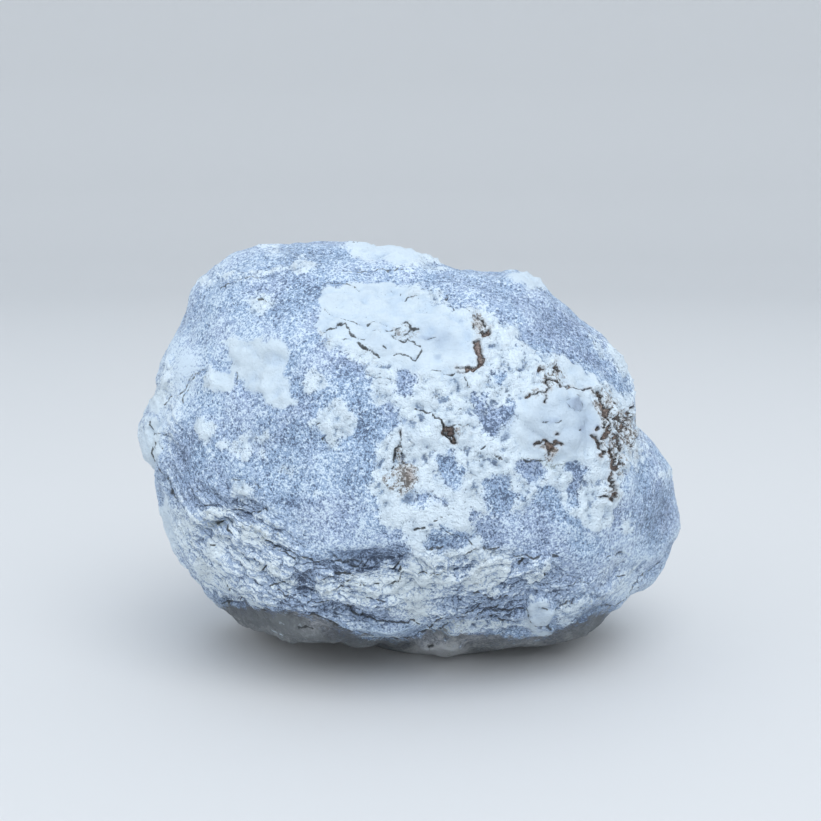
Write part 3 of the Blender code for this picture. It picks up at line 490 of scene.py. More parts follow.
# Crumpled scales: how far they are stirred about, and the crevices between them.
STIR_SIZE = 0.8
SCALE_SLANT = 0.8
SHAKE_ACROSS = 0.8
OWN_HEIGHT = 0.25
CREVICE_WIDTH = 0.17
CREVICE_DEPTH = 0.35
# Outward relief fades out this near to the CAD solid's box, and all relief at the ground.
ROOM = 1.3
GROUND_RISE = (0.15, 1.5)

# How far drawn marks are pushed about: (bump size, push).
CRACK_WARP = ((2.2, 0.14), (0.9, 0.17), (0.45, 0.12))
PATCH_WARP = ((3.2, 0.60), (1.3, 0.35))
LUMP_WARP = ((1.6, 0.16), (0.8, 0.10))
NOISE_SHIFT = 17.31
NOISE_PRIMES = (73856093, 19349663, 83492791)
NOISE_STIR = 1274126177
NOISE_MASK = 0xFFFFFFFF
NOISE_GAIN = 1.25
# The part of a noise node's values that becomes -1 to 1.
NOISE_RANGE = (0.25, 0.75)
# Noise seeds of a mark's pushes across and up.
PUSH_SEEDS = (31, 51)
# Noise that rolls over the skin where the front isn't seen: bump size and seed.
ROLLING = {"paleness": (9, 3), "dough": (12, 4), "earth": (8, 5), "underside": (9, 6)}
PALENESS_ROLL = 0.8
DOUGH_ROLL = (0.1, 0.6)
DOUGH_BELOW = 2
FACING_DOWN = (0.4, 0.7)
EARTH_ROLL = 0.5
EARTH_FROM = (0.35, 0.9)
# Where no view draws the white: noise (bump size, seed, share), how far white spreads in it and covers faces
# that look down.
WHITE_ROUGH = ((15, 1, 1), (6.5, 2, 0.6))
WHITE_SPREAD = (2.4, 1.3)
WHITE_BELOW = (12, 0.55)


# ======== drawing on views
def soft_step(low, high, value):
    """0 below low, 1 above high, and smooth between."""
    share = np.clip((value - low) / (high - low), 0, 1)
    return share * share * (3 - 2 * share)


def soft_noise(points, size, seed):
    """Smooth noise of about -1 to 1, in two or three dimensions, with bumps of a size in millimetres."""
    spots = points / size + seed * NOISE_SHIFT
    cell = np.floor(spots).astype(np.int64)
    share = spots - cell
    share = share * share * (3 - 2 * share)
    total = np.zeros(len(points))
    primes = np.array(NOISE_PRIMES[:points.shape[1]], np.int64)
    for corner in np.ndindex(*(2,) * points.shape[1]):
        key = (cell + corner) @ primes & NOISE_MASK
        key = (key ^ (key >> 13)) * NOISE_STIR & NOISE_MASK
        key = (key ^ (key >> 16)) & 0xFFFF
        total += (key / 0x8000 - 1) * np.prod(np.where(corner, share, 1 - share), axis=1)
    return total * NOISE_GAIN


def on_view(points, directions, view, pushes=()):
    """Where points fall on a view's plane, in millimetres and pushed about so that marks come out ragged, how
    far its marks show there, 0 to 1, and how squarely."""
    azimuth, elevation, offset, seen_from = VIEWS[view]
    turn, lift = math.radians(azimuth), math.radians(elevation)
    towards = np.array((math.sin(turn) * math.cos(lift), -math.cos(turn) * math.cos(lift), math.sin(lift)))
    across = np.array((math.cos(turn), math.sin(turn), 0))
    up = np.cross(towards, across)
    eye = MIDDLE + across * offset[0] + up * offset[1] + towards * EYE_DISTANCE
    rays = points - eye
    spots = eye + rays * (EYE_DISTANCE / -(rays @ towards))[:, None] - MIDDLE
    facing = -(rays * directions).sum(axis=1) / np.linalg.norm(rays, axis=1)
    straight = np.stack((spots @ across, spots @ up), axis=1)
    x, y = straight.T
    for step, (size, push) in enumerate(pushes):
        x = x + push * soft_noise(straight, size, PUSH_SEEDS[0] + step)
        y = y + push * soft_noise(straight, size, PUSH_SEEDS[1] + step)
    return x, y, soft_step(*seen_from, facing), facing


def steps(line):
    """A line's steps, each from a point to the next."""
    points = list(zip(line[::2], line[1::2]))
    return zip(points, points[1:])


def line_distance(x, y, line):
    """Millimetres to the nearest point of an open line."""
    nearest = np.full(x.shape, np.inf)
    for (ax, ay), (bx, by) in steps(line):
        length = (bx - ax) ** 2 + (by - ay) ** 2 or 1
        along = np.clip(((x - ax) * (bx - ax) + (y - ay) * (by - ay)) / length, 0, 1)
        nearest = np.minimum(nearest, np.hypot(x - ax - along * (bx - ax), y - ay - along * (by - ay)))
    return nearest


def outline_reach(x, y, outline):
    """Millimetres inside a closed outline, and minus outside."""
    closed = outline + outline[:2]
    inside = np.zeros(x.shape, bool)
    for (ax, ay), (bx, by) in steps(closed):
        if ay != by:
            inside ^= ((ay > y) != (by > y)) & (x < (bx - ax) * (y - ay) / (by - ay) + ax)
    return np.where(inside, 1, -1) * line_distance(x, y, closed)


def oval_radius(x, y, oval):
    """0 at an oval's middle and 1 on its edge."""
    across, up, half_across, half_up, turn = oval[:5]
    angle = math.radians(turn)
    along = (x - across) * math.cos(angle) + (y - up) * math.sin(angle)
    over = (y - up) * math.cos(angle) - (x - across) * math.sin(angle)
    return np.hypot(along / half_across, over / half_up)


def oval_reach(x, y, oval):
    """Millimetres inside an oval, and minus outside."""
    return (1 - oval_radius(x, y, oval)) * min(oval[2:4])


def shaded_ovals(x, y, ovals, fade=OVAL_FADE):
    """The sum of soft ovals' amounts."""
    return sum(oval[5] * (1 - soft_step(*fade, oval_radius(x, y, oval))) for oval in ovals)


# ======== the skin's mesh
def merged_copy(node, name):
    """A closed copy of a CAD node, whose own mesh is loose triangles."""
    mesh = node.data.copy()
    work = bmesh.new()
    work.from_mesh(mesh)
    bmesh.ops.remove_doubles(work, verts=work.verts, dist=MERGED_WITHIN)
    bmesh.ops.recalc_face_normals(work, faces=work.faces)
    work.to_mesh(mesh)
    work.free()
    mesh.materials.clear()
    copy = bpy.data.objects.new(name, mesh)
    bpy.context.scene.collection.objects.link(copy)
    return copy


def settle(piece):
    """Turns a piece's modifiers into its plain mesh."""
    bpy.context.view_layer.update()
    graph = bpy.context.evaluated_depsgraph_get()
    finished = piece.evaluated_get(graph)
    mesh = bpy.data.meshes.new_from_object(finished, preserve_all_data_layers=True, depsgraph=graph)
    piece.modifiers.clear()
    piece.data = mesh


def vectors(mesh, name):
    """Three numbers for each vertex: "co" is its place and "normal" its direction."""
    values = np.empty(len(mesh.vertices) * 3, np.float32)
    mesh.vertices.foreach_get(name, values)
    return values.reshape(-1, 3).astype(float)


def place(mesh, points):
    mesh.vertices.foreach_set("co", points.astype(np.float32).ravel())
    mesh.update()


def neighbour_mean(values, mesh):
    """Each vertex's neighbours' mean."""
    edges = np.empty(len(mesh.edges) * 2, np.int32)
    mesh.edges.foreach_get("vertices", edges)
    here = np.concatenate((edges[::2], edges[1::2]))
    there = np.concatenate((edges[1::2], edges[::2]))
    count = np.bincount(here, minlength=len(values))
    sums = [np.bincount(here, values[there, axis], minlength=len(values)) for axis in range(3)]
    return np.stack(sums, axis=1) / np.maximum(count, 1)[:, None]


def remesh(piece):
    """Even quads in place of the CAD triangles, with the triangles' edges smoothed away."""
    modifier = piece.modifiers.new("even_quads", "REMESH")
    modifier.mode = "VOXEL"
    modifier.voxel_size = SKIN_VOXEL
    settle(piece)
    points = vectors(piece.data, "co")
    for _ in range(SKIN_SMOOTHINGS):
        points += SMOOTH_IN * (neighbour_mean(points, piece.data) - points)
        points -= SMOOTH_OUT * (neighbour_mean(points, piece.data) - points)
    away = np.linalg.norm(points / MM - np.array(LEDGE_MIDDLE), axis=1)
    share = 1 - soft_step(*LEDGE_EASED, away)
    for _ in range(LEDGE_SMOOTHINGS):
        points += share[:, None] * (neighbour_mean(points, piece.data) - points)
    place(piece.data, points)


def finer_faces(points, directions, level):
    """Which faces are split: beside lines, at first where white or folded too, and at last in cracks."""
    reach = lines_reach(points, directions, BROWN_CRACKS)
    if level < LEVELS:
        reach = np.maximum(reach, lines_reach(points, directions, CREASES))
    wanted = reach > -LINE_CORRIDORS[level - 1]
    if level == 1:
        rich = white_reach(points, directions) > WHITE_REFINED
        rich |= folded(points, directions) > FOLDED_REFINED
        wanted |= rich & (-directions[:, 1] > FRONT_REFINED)
    return np.nonzero(wanted)[0]


def refine(piece):
    """Splits the faces that show most detail, several times over."""
    for level in range(1, LEVELS + 1):
        work = bmesh.new()
        work.from_mesh(piece.data)
        work.faces.ensure_lookup_table()
        centres = np.array([face.calc_center_median() for face in work.faces]) / MM
        directions = np.array([face.normal for face in work.faces])
        chosen = finer_faces(centres, directions, level)
        edges = {edge for index in chosen for edge in work.faces[index].edges}
        bmesh.ops.subdivide_edges(work, edges=list(edges), cuts=1, use_grid_fill=True)
        bmesh.ops.triangulate(work, faces=[face for face in work.faces if len(face.verts) > 4])
        work.to_mesh(piece.data)
        work.free()


# ======== what each point of the skin is
def folded(points, directions):
    """0 to 1, how strongly the layers show."""
    total = np.zeros(len(points))
    for view, ovals in FOLDS.items():
        x, y, seen, _ = on_view(points, directions, view)
        total = np.maximum(total, seen * shaded_ovals(x, y, ovals))
    return np.clip(total, 0, 1)


def front_white(x, y):
    """Millimetres inside the front's white, and minus in its blue."""
    shapes = [oval_reach(x, y, oval) for oval in WHITE_OVALS["front"]]
    shapes += [outline_reach(x, y, outline) for outline in WHITE_OUTLINES.values()]
    shapes.append(outline_reach(x, y, UNDERSIDE) - UNDERSIDE_BORDER)
    drawn = np.clip(np.max(shapes, axis=0), -REACH_LIMIT, REACH_LIMIT)
    blue = [outline_reach(x, y, outline) for outline in BLUE_OUTLINES]
    blue += [oval_reach(x, y, oval) for oval in BLUE_OVALS]
    return np.minimum(drawn, -np.max(blue, axis=0)) + shaded_ovals(x, y, SHIFTS)


def white_reach(points, directions):
    """Millimetres inside the white, and minus in the blue, from marks where seen and by rule elsewhere."""
    rough = sum(share * soft_noise(points, size, seed) for size, seed, share in WHITE_ROUGH)
    below = WHITE_BELOW[0] * (-directions[:, 2] - WHITE_BELOW[1]) + rough
    reach = np.maximum(WHITE_SPREAD[0] * rough - WHITE_SPREAD[1], below)
    for view, ovals in WHITE_OVALS.items():
        x, y, seen, _ = on_view(points, directions, view, PATCH_WARP)
        if view == "front":
            front, front_seen = front_white(x, y), seen
        else:
            drawn = np.max([oval_reach(x, y, oval) for oval in ovals], axis=0)
            reach = np.where(seen > 0, np.maximum(reach, drawn * seen - REACH_LIMIT * (1 - seen)), reach)
    return np.clip(front * front_seen + reach * (1 - front_seen), -REACH_LIMIT, REACH_LIMIT)


def lines_reach(points, directions, lines):
    """Millimetres inside the nearest line, and minus beside it."""
    reach = np.full(len(points), -REACH_LIMIT)
    for view, drawn in lines.items():
        x, y, _, facing = on_view(points, directions, view, CRACK_WARP)
        inside = np.max([half_width - line_distance(x, y, line) for half_width, *line in drawn], axis=0)
        reach = np.maximum(reach, np.where(facing > LINES_FACING, inside, -REACH_LIMIT))
    return reach


def layer_height(points):
    """Which layer a point lies in, in millimetres: layers sag in the middle and dip a little to the front."""
    across, up = (points - MIDDLE)[:, 0], (points - MIDDLE)[:, 2]
    away = np.minimum(np.abs(across - LAYER_LOWEST), LAYER_SPAN)
    return up - LAYER_SAG[0] * away ** 2 - LAYER_SAG[1] * away ** 7 + LAYER_DIP * points[:, 1]


def under(points, directions):
    """0 to 1, where the stone is its smooth underside, which the colour darkens as painted shade."""
    x, y, seen, _ = on_view(points, directions, "front")
    drawn = soft_step(*UNDERSIDE_EDGE, outline_reach(x, y, UNDERSIDE))
    height = points[:, 2] + UNDERSIDE_RAGGED * soft_noise(points, *ROLLING["underside"])
    return drawn * seen + (1 - soft_step(*UNDERSIDE_HEIGHTS, height)) * (1 - seen)


def keep(mesh, name, values):
    """Stores one number for each vertex."""
    attribute = mesh.attributes.get(name) or mesh.attributes.new(name, "FLOAT", "POINT")
    attribute.data.foreach_set("value", np.asarray(values, np.float32))


def describe(piece):
    """Stores on the skin what the relief and the material read."""
    points, directions = vectors(piece.data, "co") / MM, vectors(piece.data, "normal")

    def drawn(ovals, elsewhere=0, pushes=PATCH_WARP, fade=OVAL_FADE):
        """Soft ovals drawn on the front, and another value where the front isn't seen."""
        x, y, seen, _ = on_view(points, directions, "front", pushes)
        return shaded_ovals(x, y, ovals, fade) * seen + elsewhere * (1 - seen)

    def rolling(name):
        return soft_noise(points, *ROLLING[name])

    doughy = DOUGH_ROLL[0] + DOUGH_ROLL[1] * rolling("dough")
    doughy += DOUGH_BELOW * soft_step(*FACING_DOWN, -directions[:, 2])
    low, high = np.array(cad_low) / MM, np.array(cad_high) / MM
    margin = np.minimum(points - low, high - points).min(axis=1)
    kept = {
        "white_reach": white_reach(points, directions),
        # Paleness carries painted shade and painted light as well as the stone's tone.
        "paleness": drawn(PALENESS_LIGHT_AND_SHADE, PALENESS_ROLL * rolling("paleness")),
        "lump": drawn(RAISED, 0, LUMP_WARP, LUMP_EDGE) - drawn(HOLLOWED),
        "smoothness": drawn(SMOOTHNESS, doughy),
        "clearness": drawn(CLEARNESS, 0, LUMP_WARP),
        "earth": drawn(EARTH, EARTH_ROLL * soft_step(*EARTH_FROM, rolling("earth"))),
        "stain": drawn(STAINS),
        "folded": folded(points, directions),
        "under": under(points, directions),
        "layer": layer_height(points),
        "brown_reach": lines_reach(points, directions, BROWN_CRACKS),
        "crease_reach": lines_reach(points, directions, CREASES),
        "room": soft_step(0, ROOM, margin),
        "above_ground": soft_step(*GROUND_RISE, points[:, 2]),
    }
    for name, values in kept.items():
        keep(piece.data, name, values)


def keep_hollows(piece):
    """Stores how far each point lies below its surroundings, in millimetres, and minus where it is proud."""
    mesh = piece.data
    points = vectors(mesh, "co")
    around = points
    for _ in range(HOLLOW_SMOOTHINGS):
        around = neighbour_mean(around, mesh)
    keep(mesh, "hollow", ((around - points) * vectors(mesh, "normal")).sum(axis=1) / MM)


# ======== nodes
class Term:
    """A node's output. Arithmetic with it adds the math node that does the same."""

    def __init__(self, nodes, socket):
        self.nodes, self.socket = nodes, socket

    def __add__(self, other):
        return self.nodes.math("ADD", self, other)

    def __sub__(self, other):
        return self.nodes.math("SUBTRACT", self, other)

    def __rsub__(self, other):
        return self.nodes.math("SUBTRACT", other, self)

    def __mul__(self, other):
        return self.nodes.math("MULTIPLY", self, other)

    def __rtruediv__(self, other):
        return self.nodes.math("DIVIDE", other, self)

    def __abs__(self):
        return self.nodes.math("ABSOLUTE", self)

    def ramp(self, low, high, start=0, end=1, kind="SMOOTHSTEP"):
        """The value between low and high becomes one between start and end."""
        inputs = {"Value": self, "From Min": low, "From Max": high, "To Min": start, "To Max": end}
        return self.nodes.term("ShaderNodeMapRange", "Result", inputs, interpolation_type=kind)

    def between(self, start, end):
        """Start where the value is 0, end where it is 1, and smooth between."""
        return self.ramp(0, 1, start, end)

    def share(self, look):
        """How much of a look there is."""
        begins, full, strength = SETS_IN[look]
        return self.ramp(begins, full, 0, strength)


class Nodes:
    """Adds nodes to one tree, material or geometry, and links them. Noise is read at its place."""

    def __init__(self, tree):
        self.tree, self.place = tree, None

    def add(self, kind, inputs=(), **settings):
        """One node, its settings, and its inputs by name or number: a term is linked and a value is set."""
        node = self.tree.nodes.new(kind)
        for setting, value in settings.items():
            setattr(node, setting, value)
        for name, value in dict(inputs).items():
            if isinstance(value, Term):
                self.tree.links.new(value.socket, node.inputs[name])
            else:
                node.inputs[name].default_value = value
        return node

    def term(self, kind, output, inputs=(), **settings):
        """One output of a new node, by name or number."""
        return Term(self, self.add(kind, inputs, **settings).outputs[output])

    def terms(self, kind, inputs=(), **settings):
        """All outputs of a new node, by name."""
        return {output.name: Term(self, output) for output in self.add(kind, inputs, **settings).outputs}

    def attribute(self, name):
        """A number that is stored on the skin."""
        if self.tree.type == "GEOMETRY":
            inputs = {"Name": name}
            return self.term("GeometryNodeInputNamedAttribute", "Attribute", inputs, data_type="FLOAT")
        return self.term("ShaderNodeAttribute", "Fac", attribute_name=name, attribute_type="GEOMETRY")

    def math(self, operation, first, second=0):
        return self.term("ShaderNodeMath", 0, {0: first, 1: second}, operation=operation)

    def noise(self, size, detail=2, roughness=0.5, warp=0):
        """Noise of -1 to 1, with bumps of about a size in metres: a number or a term."""
        inputs = {"Vector": self.place, "Scale": 1 / size, "Detail": detail}
        inputs |= {"Roughness": roughness, "Distortion": warp}
        return self.term("ShaderNodeTexNoise", 0, inputs).ramp(*NOISE_RANGE, -1, 1, "LINEAR")

    def mix(self, share, first, second):
        """Two colours mixed: each is a term or three numbers."""
        first, second = [value if isinstance(value, Term) else (*value, 1) for value in (first, second)]
        return self.term("ShaderNodeMix", 2, {0: share, 6: first, 7: second}, data_type="RGBA")


def named_tree(name, kind, inputs, outputs):
    """A new tree's nodes and its named inputs. An input is a number or a kind of socket, as an output is."""
    tree = bpy.data.node_groups.new(name, kind)
    for label, value in inputs.items():
        socket = value if isinstance(value, str) else "Float"
        made = tree.interface.new_socket(name=label, in_out="INPUT", socket_type="NodeSocket" + socket)
        if socket == "Float":
            made.default_value = value
    for label, socket in outputs.items():
        tree.interface.new_socket(name=label, in_out="OUTPUT", socket_type="NodeSocket" + socket)
    nodes = Nodes(tree)
    given = nodes.terms("NodeGroupInput")
    return nodes, given


def crumple(nodes, layer, size, stretch):
    """Crumpled scales along the layers: their height, about -1 to 1, and the crevices between, 0 to 1."""
    axes = nodes.terms("ShaderNodeSeparateXYZ", {0: nodes.place})
    stirring = {"Vector": nodes.place, "Scale": STIR_SIZE / size, "Detail": 3, "Roughness": 0.6}
    shake = nodes.terms("ShaderNodeSeparateXYZ", {0: nodes.term("ShaderNodeTexNoise", "Color", stirring)})
    along = (axes["X"] + axes["Y"] * SCALE_SLANT) * stretch + (shake["X"] - 0.5) * size
    across = layer * MM + (shake["Y"] - 0.5) * size * SHAKE_ACROSS
    scale = 1 / size
    flat = {"Vector": nodes.term("ShaderNodeCombineXYZ", 0, {"X": along, "Y": across}), "Scale": scale}
    cells = nodes.terms("ShaderNodeTexVoronoi", flat, voronoi_dimensions="2D")
    edges = nodes.terms("ShaderNodeTexVoronoi", flat, voronoi_dimensions="2D", feature="DISTANCE_TO_EDGE")
    centre = nodes.terms("ShaderNodeSeparateXYZ", {0: cells["Position"]})
    tilt = (centre["Y"] - across) * scale
    crevice = edges["Distance"].ramp(0, CREVICE_WIDTH, 1, 0)
    own = cells["Color"].ramp(0, 1, -OWN_HEIGHT, OWN_HEIGHT, "LINEAR")
    return tilt + own - crevice * CREVICE_DEPTH, crevice


# ======== relief
def chalky_relief(nodes, given, white, crumbly, under_share):
    """The white's dough, crumbs and clumps."""
    dough = nodes.noise(given["Dough Size"] * MM, 2, 0.45, 0.4) * given["Dough Height"]
    crumbs = nodes.noise(given["Crumb Size"] * MM, 2, 0.6) * given["Crumb Height"]
    clump = abs(nodes.noise(given["Clump Size"] * MM, 2, 0.55)).ramp(0, CLUMP_EDGE)
    clumps = (clump - 0.5) * given["Clump Height"]
    return (dough + (crumbs + clumps) * crumbly) * white * under_share.between(1, UNDER_CHALKY)


def folded_relief(nodes, given, smooth, under_share, layer):
    """The crumpled folds, and the wrinkles upon them."""
    fold = crumple(nodes, layer, given["Fold Size"] * MM, FOLD_STRETCH)[0]
    wrinkle = crumple(nodes, layer, given["Wrinkle Size"] * MM, WRINKLE_STRETCH)[0]
    patchy = nodes.noise(given["Patch Size"] * MM).ramp(*WRINKLE_PATCHES)
    shown = nodes.attribute("folded") * smooth.between(1, SMOOTH_FOLDS) * under_share.between(1, UNDER_FOLDS)
    return (fold * given["Fold Height"] + wrinkle * given["Wrinkle Height"] * patchy) * shown


def opened_relief(nodes, given):
    """How far the cracks are open, and how deep cracks and creases go."""
    uneven = nodes.noise(given["Uneven Size"] * MM, 3, 0.6) * CRACK_SHAKE
    wavering = nodes.noise(given["Waver Size"] * MM) * CRACK_SHAKE
    opened = nodes.attribute("brown_reach") + uneven + wavering - CRACK_NARROWED
    crack = opened.ramp(*CRACK_WALL) * given["Crack Depth"] - opened.ramp(*CRACK_FILL) * given["Fill Rise"]
    crease = (nodes.attribute("crease_reach") + uneven).ramp(*CREASE_WALL) * given["Crease Depth"]
    return opened, crack + crease


def relief_tree():
    """Geometry nodes that raise the white, crumble and fold the surface, and open the cracks."""
    inputs = {"Geometry": "Geometry", "Finish": "Material", **RELIEF}
    nodes, given = named_tree("nodule relief", "GeometryNodeTree", inputs, {"Geometry": "Geometry"})
    nodes.place = nodes.term("GeometryNodeInputPosition", 0)
    smooth, under_share = nodes.attribute("smoothness").ramp(*DOUGHY), nodes.attribute("under")
    rag = nodes.noise(given["Rag Size"] * MM, 4, 0.66) * given["Rag"] * smooth.between(1, SMOOTH_RAG)
    reach = nodes.attribute("white_reach") * smooth.between(CRUMBLY_REACH, 1) + rag
    white = reach.ramp(*WHITE_RISES)
    layer = nodes.attribute("layer") + nodes.noise(given["Bend Size"] * MM, 3) * given["Layer Warp"]
    opened, depth = opened_relief(nodes, given)

    sugar = nodes.noise(given["Sugar Size"] * MM, 3, 0.6) * given["Sugar Height"]
    swell = (nodes.noise(given["Swell Size"] * MM) - SWELL_LOWERED) * given["Swell Height"]
    chalky = chalky_relief(nodes, given, white, 1 - smooth, under_share)
    folds = folded_relief(nodes, given, smooth, under_share, layer)
    rise = white * given["White Rise"] + chalky + sugar + swell + folds + nodes.attribute("lump") - depth
    outward = nodes.math("MAXIMUM", rise, 0) * nodes.attribute("room")
    lift = (outward + nodes.math("MINIMUM", rise, 0)) * nodes.attribute("above_ground") * MM

    geometry = given["Geometry"]
    for name, value in (("white_edge", reach), ("layer_bent", layer), ("crack_open", opened)):
        stored = {"Geometry": geometry, "Name": name, "Value": value}
        geometry = nodes.term("GeometryNodeStoreNamedAttribute", 0, stored, data_type="FLOAT", domain="POINT")
    normal = nodes.term("GeometryNodeInputNormal", 0)
    offset = nodes.term("ShaderNodeVectorMath", 0, {0: normal, "Scale": lift}, operation="SCALE")
    moved = nodes.term("GeometryNodeSetPosition", 0, {"Geometry": geometry, "Offset": offset})
    real = nodes.term("GeometryNodeRealizeInstances", 0, {0: moved})
    finished = nodes.term("GeometryNodeSetMaterial", 0, {"Geometry": real, "Material": given["Finish"]})
    nodes.add("NodeGroupOutput", {"Geometry": finished})
    return nodes.tree


def carve(piece, finish):
    """Runs the relief tree on the skin."""
    modifier = piece.modifiers.new("relief", "NODES")
    modifier.node_group = relief_tree()
    for socket in modifier.node_group.interface.items_tree:
        if socket.in_out == "INPUT" and socket.name in RELIEF:
            modifier[socket.identifier] = float(RELIEF[socket.name])
        elif socket.name == "Finish":
            modifier[socket.identifier] = finish
    settle(piece)
    points = vectors(piece.data, "co")
    place(piece.data, np.clip(points, np.array(cad_low), np.array(cad_high)))


# ======== the stone's finish
BLUE_DARK = (0.101, 0.145, 0.230)
BLUE_MIDDLE = (0.322, 0.454, 0.656)
BLUE_LIGHT = (0.695, 0.820, 0.940)
BLUE_LAVENDER = (0.340, 0.438, 0.634)
BLUE_DUST_AND_SHADE = (0.412, 0.526, 0.675)
WHITE_FULL = (0.618, 0.715, 0.794)
# Crumbly white is painted brighter than the smooth white, as painted light making up for the lesser light on
# the front's crumbly patches.
WHITE_CRUMBLY_BRIGHTENED = (0.790, 0.905, 1)
WHITE_SHADED = (0.526, 0.640, 0.763)
PIT_GREY = (0.162, 0.211, 0.285)
CLEAR_GREY = (0.421, 0.518, 0.640)
CLEAR_DEEP = (0.351, 0.430, 0.553)
SMUDGE_AND_SHADE_GREY = (0.224, 0.294, 0.404)
# Folds' colours: dark painted shade for crevices and hollows, a middle blue, and white with painted
# highlights on crests.
FOIL_GRAIN_AND_SHADE = (0.075, 0.101, 0.154)
FOIL_BLUE = (0.385, 0.500, 0.695)
FOIL_WHITE_AND_HIGHLIGHT = (0.840, 0.940, 1)
EARTH_GREY = (0.184, 0.215, 0.193)
STAIN_TAN = (0.510, 0.460, 0.430)
STAIN_ORANGE = (0.421, 0.237, 0.123)
STAIN_BROWN = (0.105, 0.092, 0.079)
BROWN_DARK = (0.053, 0.046, 0.039)
BROWN_RUST = (0.184, 0.118, 0.092)
BROWN_PALE = (0.439, 0.351, 0.307)
CREASE_AND_SHADOW_GREY = (0.044, 0.049, 0.051)
# The underside's colours are darkened as painted shade, the first one most.
UNDER_SHADE = (0.112, 0.117, 0.120)
UNDER_PALE = (0.455, 0.462, 0.470)

# Bump sizes, the grain's coarser part and its crystals, and each foil's size and stretch.
GRAIN_SIZE = 0.25 * MM
COARSE_GRAIN = 2.6
COARSE_SHARE = 0.45
CRYSTAL_SIZE = 0.8
CRYSTAL_TONE = 0.7
PIT_SIZE = 0.42 * MM
PIT_GAIN = 1.6
SPECK_SIZE = 0.55 * MM
FLECK_SIZE = 0.85 * MM
DUST_SIZE = 1.1 * MM
CLUMP_SIZE = 1.5 * MM
MOTTLE_SIZE = 2.6 * MM
SHADE_SIZE = 3.2 * MM
DRIFT_SIZE = 7 * MM
FOIL_SIZES = ((0.85 * MM, 0.40), (0.45 * MM, 0.50))

# Where a look begins, where it is full, and its full share.
SETS_IN = {
    "lavender": (-0.5, 0.7, 1), "blue": (-0.85, -0.05, 1), "light blue": (0, 0.8, 1),
    "white": (-0.32, 0.28, 1), "shade": (-0.4, 1.4, 1), "dust": (0.3, 1.3, 0.45), "pits": (0.6, 1.5, 0.75),
    "blue gaps": (0.4, 0.62, 0.9), "smudges": (0.62, 1, 0.8), "clear": (0.1, 1.1, 1),
    "deep clear": (0.9, 1.5, 1), "foil": (-1.1, -0.1, 1), "white foil": (-0.05, 0.75, 1),
    "pale underside": (-0.7, 1.3, 1), "underside": (0.25, 0.75, 0.9), "underside ground": (0, 0.2, 1),
    "earth": (0.4, 1.7, 0.75), "earthy ground": (0, 0.3, 1), "crack dust": (-0.5, 0.12, 0.32),
    "tan": (0.3, 1.1, 0.6), "tan ground": (0.05, 0.4, 1), "orange": (1.2, 1.9, 1),
    "brown spots": (0.25, 1.1, 0.85), "spotted ground": (0.1, 0.6, 1), "pale earth": (-0.6, 0.9, 1),
    "dark earth": (0.3, 1, 1), "crack middle": (0.06, 0.22, 1), "crack": (-0.04, 0.08, 0.9),
    "crease": (-0.06, 0.04, 0.86), "crease middle": (0.04, 0.14, 0.12), "whiteness": (-0.4, 0.4, 1),
    "lumps": (0, 0.35, 0.08), "open crack": (-0.12, 0.1, 0.14),
}
FOIL_SHARE = 0.88
# What is left of foil where the stone is smooth, and on the underside.
SMOOTH_FOIL = 0.15
UNDER_FOIL = 0.25
# How flecks and sugar roughen the white's edge, from crumbly to smooth.
FLECK_RAG = (0.50, 0.20)
SUGAR_RAG = (0.26, 0.12)
# Fine relief in millimetres: sugar's from blue to white, pits' from crumbly to smooth, and each foil's.
SUGAR_BUMP = (0.055, 0.026)
PIT_BUMP = (-0.085, -0.020)
FLECK_BUMP = 0.045
FOIL_BUMPS = (0.25, 0.11)
# From blue to white.
ROUGHNESS = (0.50, 0.66)
SHININESS = 0.42
# How the painted shade in crevices breaks up: from where to where, and its least and most depth.
CREVICE_BREAKS = (-0.5, 0.7, 0.1, 1)


def grain_group():
    """Sugar grain: crystals of two sizes that catch the light."""
    inputs = {"Place": "Vector", "Size": GRAIN_SIZE, "Coarse": COARSE_SHARE}
    nodes, given = named_tree("sugar grain", "ShaderNodeTree", inputs, {"Grain": "Float"})
    nodes.place = given["Place"]
    fine = nodes.noise(given["Size"], 2, 0.6)
    coarse = nodes.noise(given["Size"] * COARSE_GRAIN, 2, 0.55)
    cells = {"Vector": nodes.place, "Scale": CRYSTAL_SIZE / given["Size"]}
    crystal = nodes.term("ShaderNodeTexVoronoi", "Color", cells)
    crystal = crystal.ramp(0, 1, -CRYSTAL_TONE, CRYSTAL_TONE, "LINEAR")
    nodes.add("NodeGroupOutput", {"Grain": fine + crystal + coarse * given["Coarse"]})
    return nodes.tree


def crumple_group():
    """Crumpled layers too fine for the mesh: their relief, and the crevices between them, which the colour
    darkens as painted shade.
    """
    inputs = {"Place": "Vector", "Layer": 0, "Size": MM, "Stretch": 0.4}
    outputs = {"Height": "Float", "Crevice": "Float"}
    nodes, given = named_tree("crumpled layers", "ShaderNodeTree", inputs, outputs)
    nodes.place = given["Place"]
    height, crevice = crumple(nodes, given["Layer"], given["Size"], given["Stretch"])
    nodes.add("NodeGroupOutput", {"Height": height, "Crevice": crevice})
    return nodes.tree


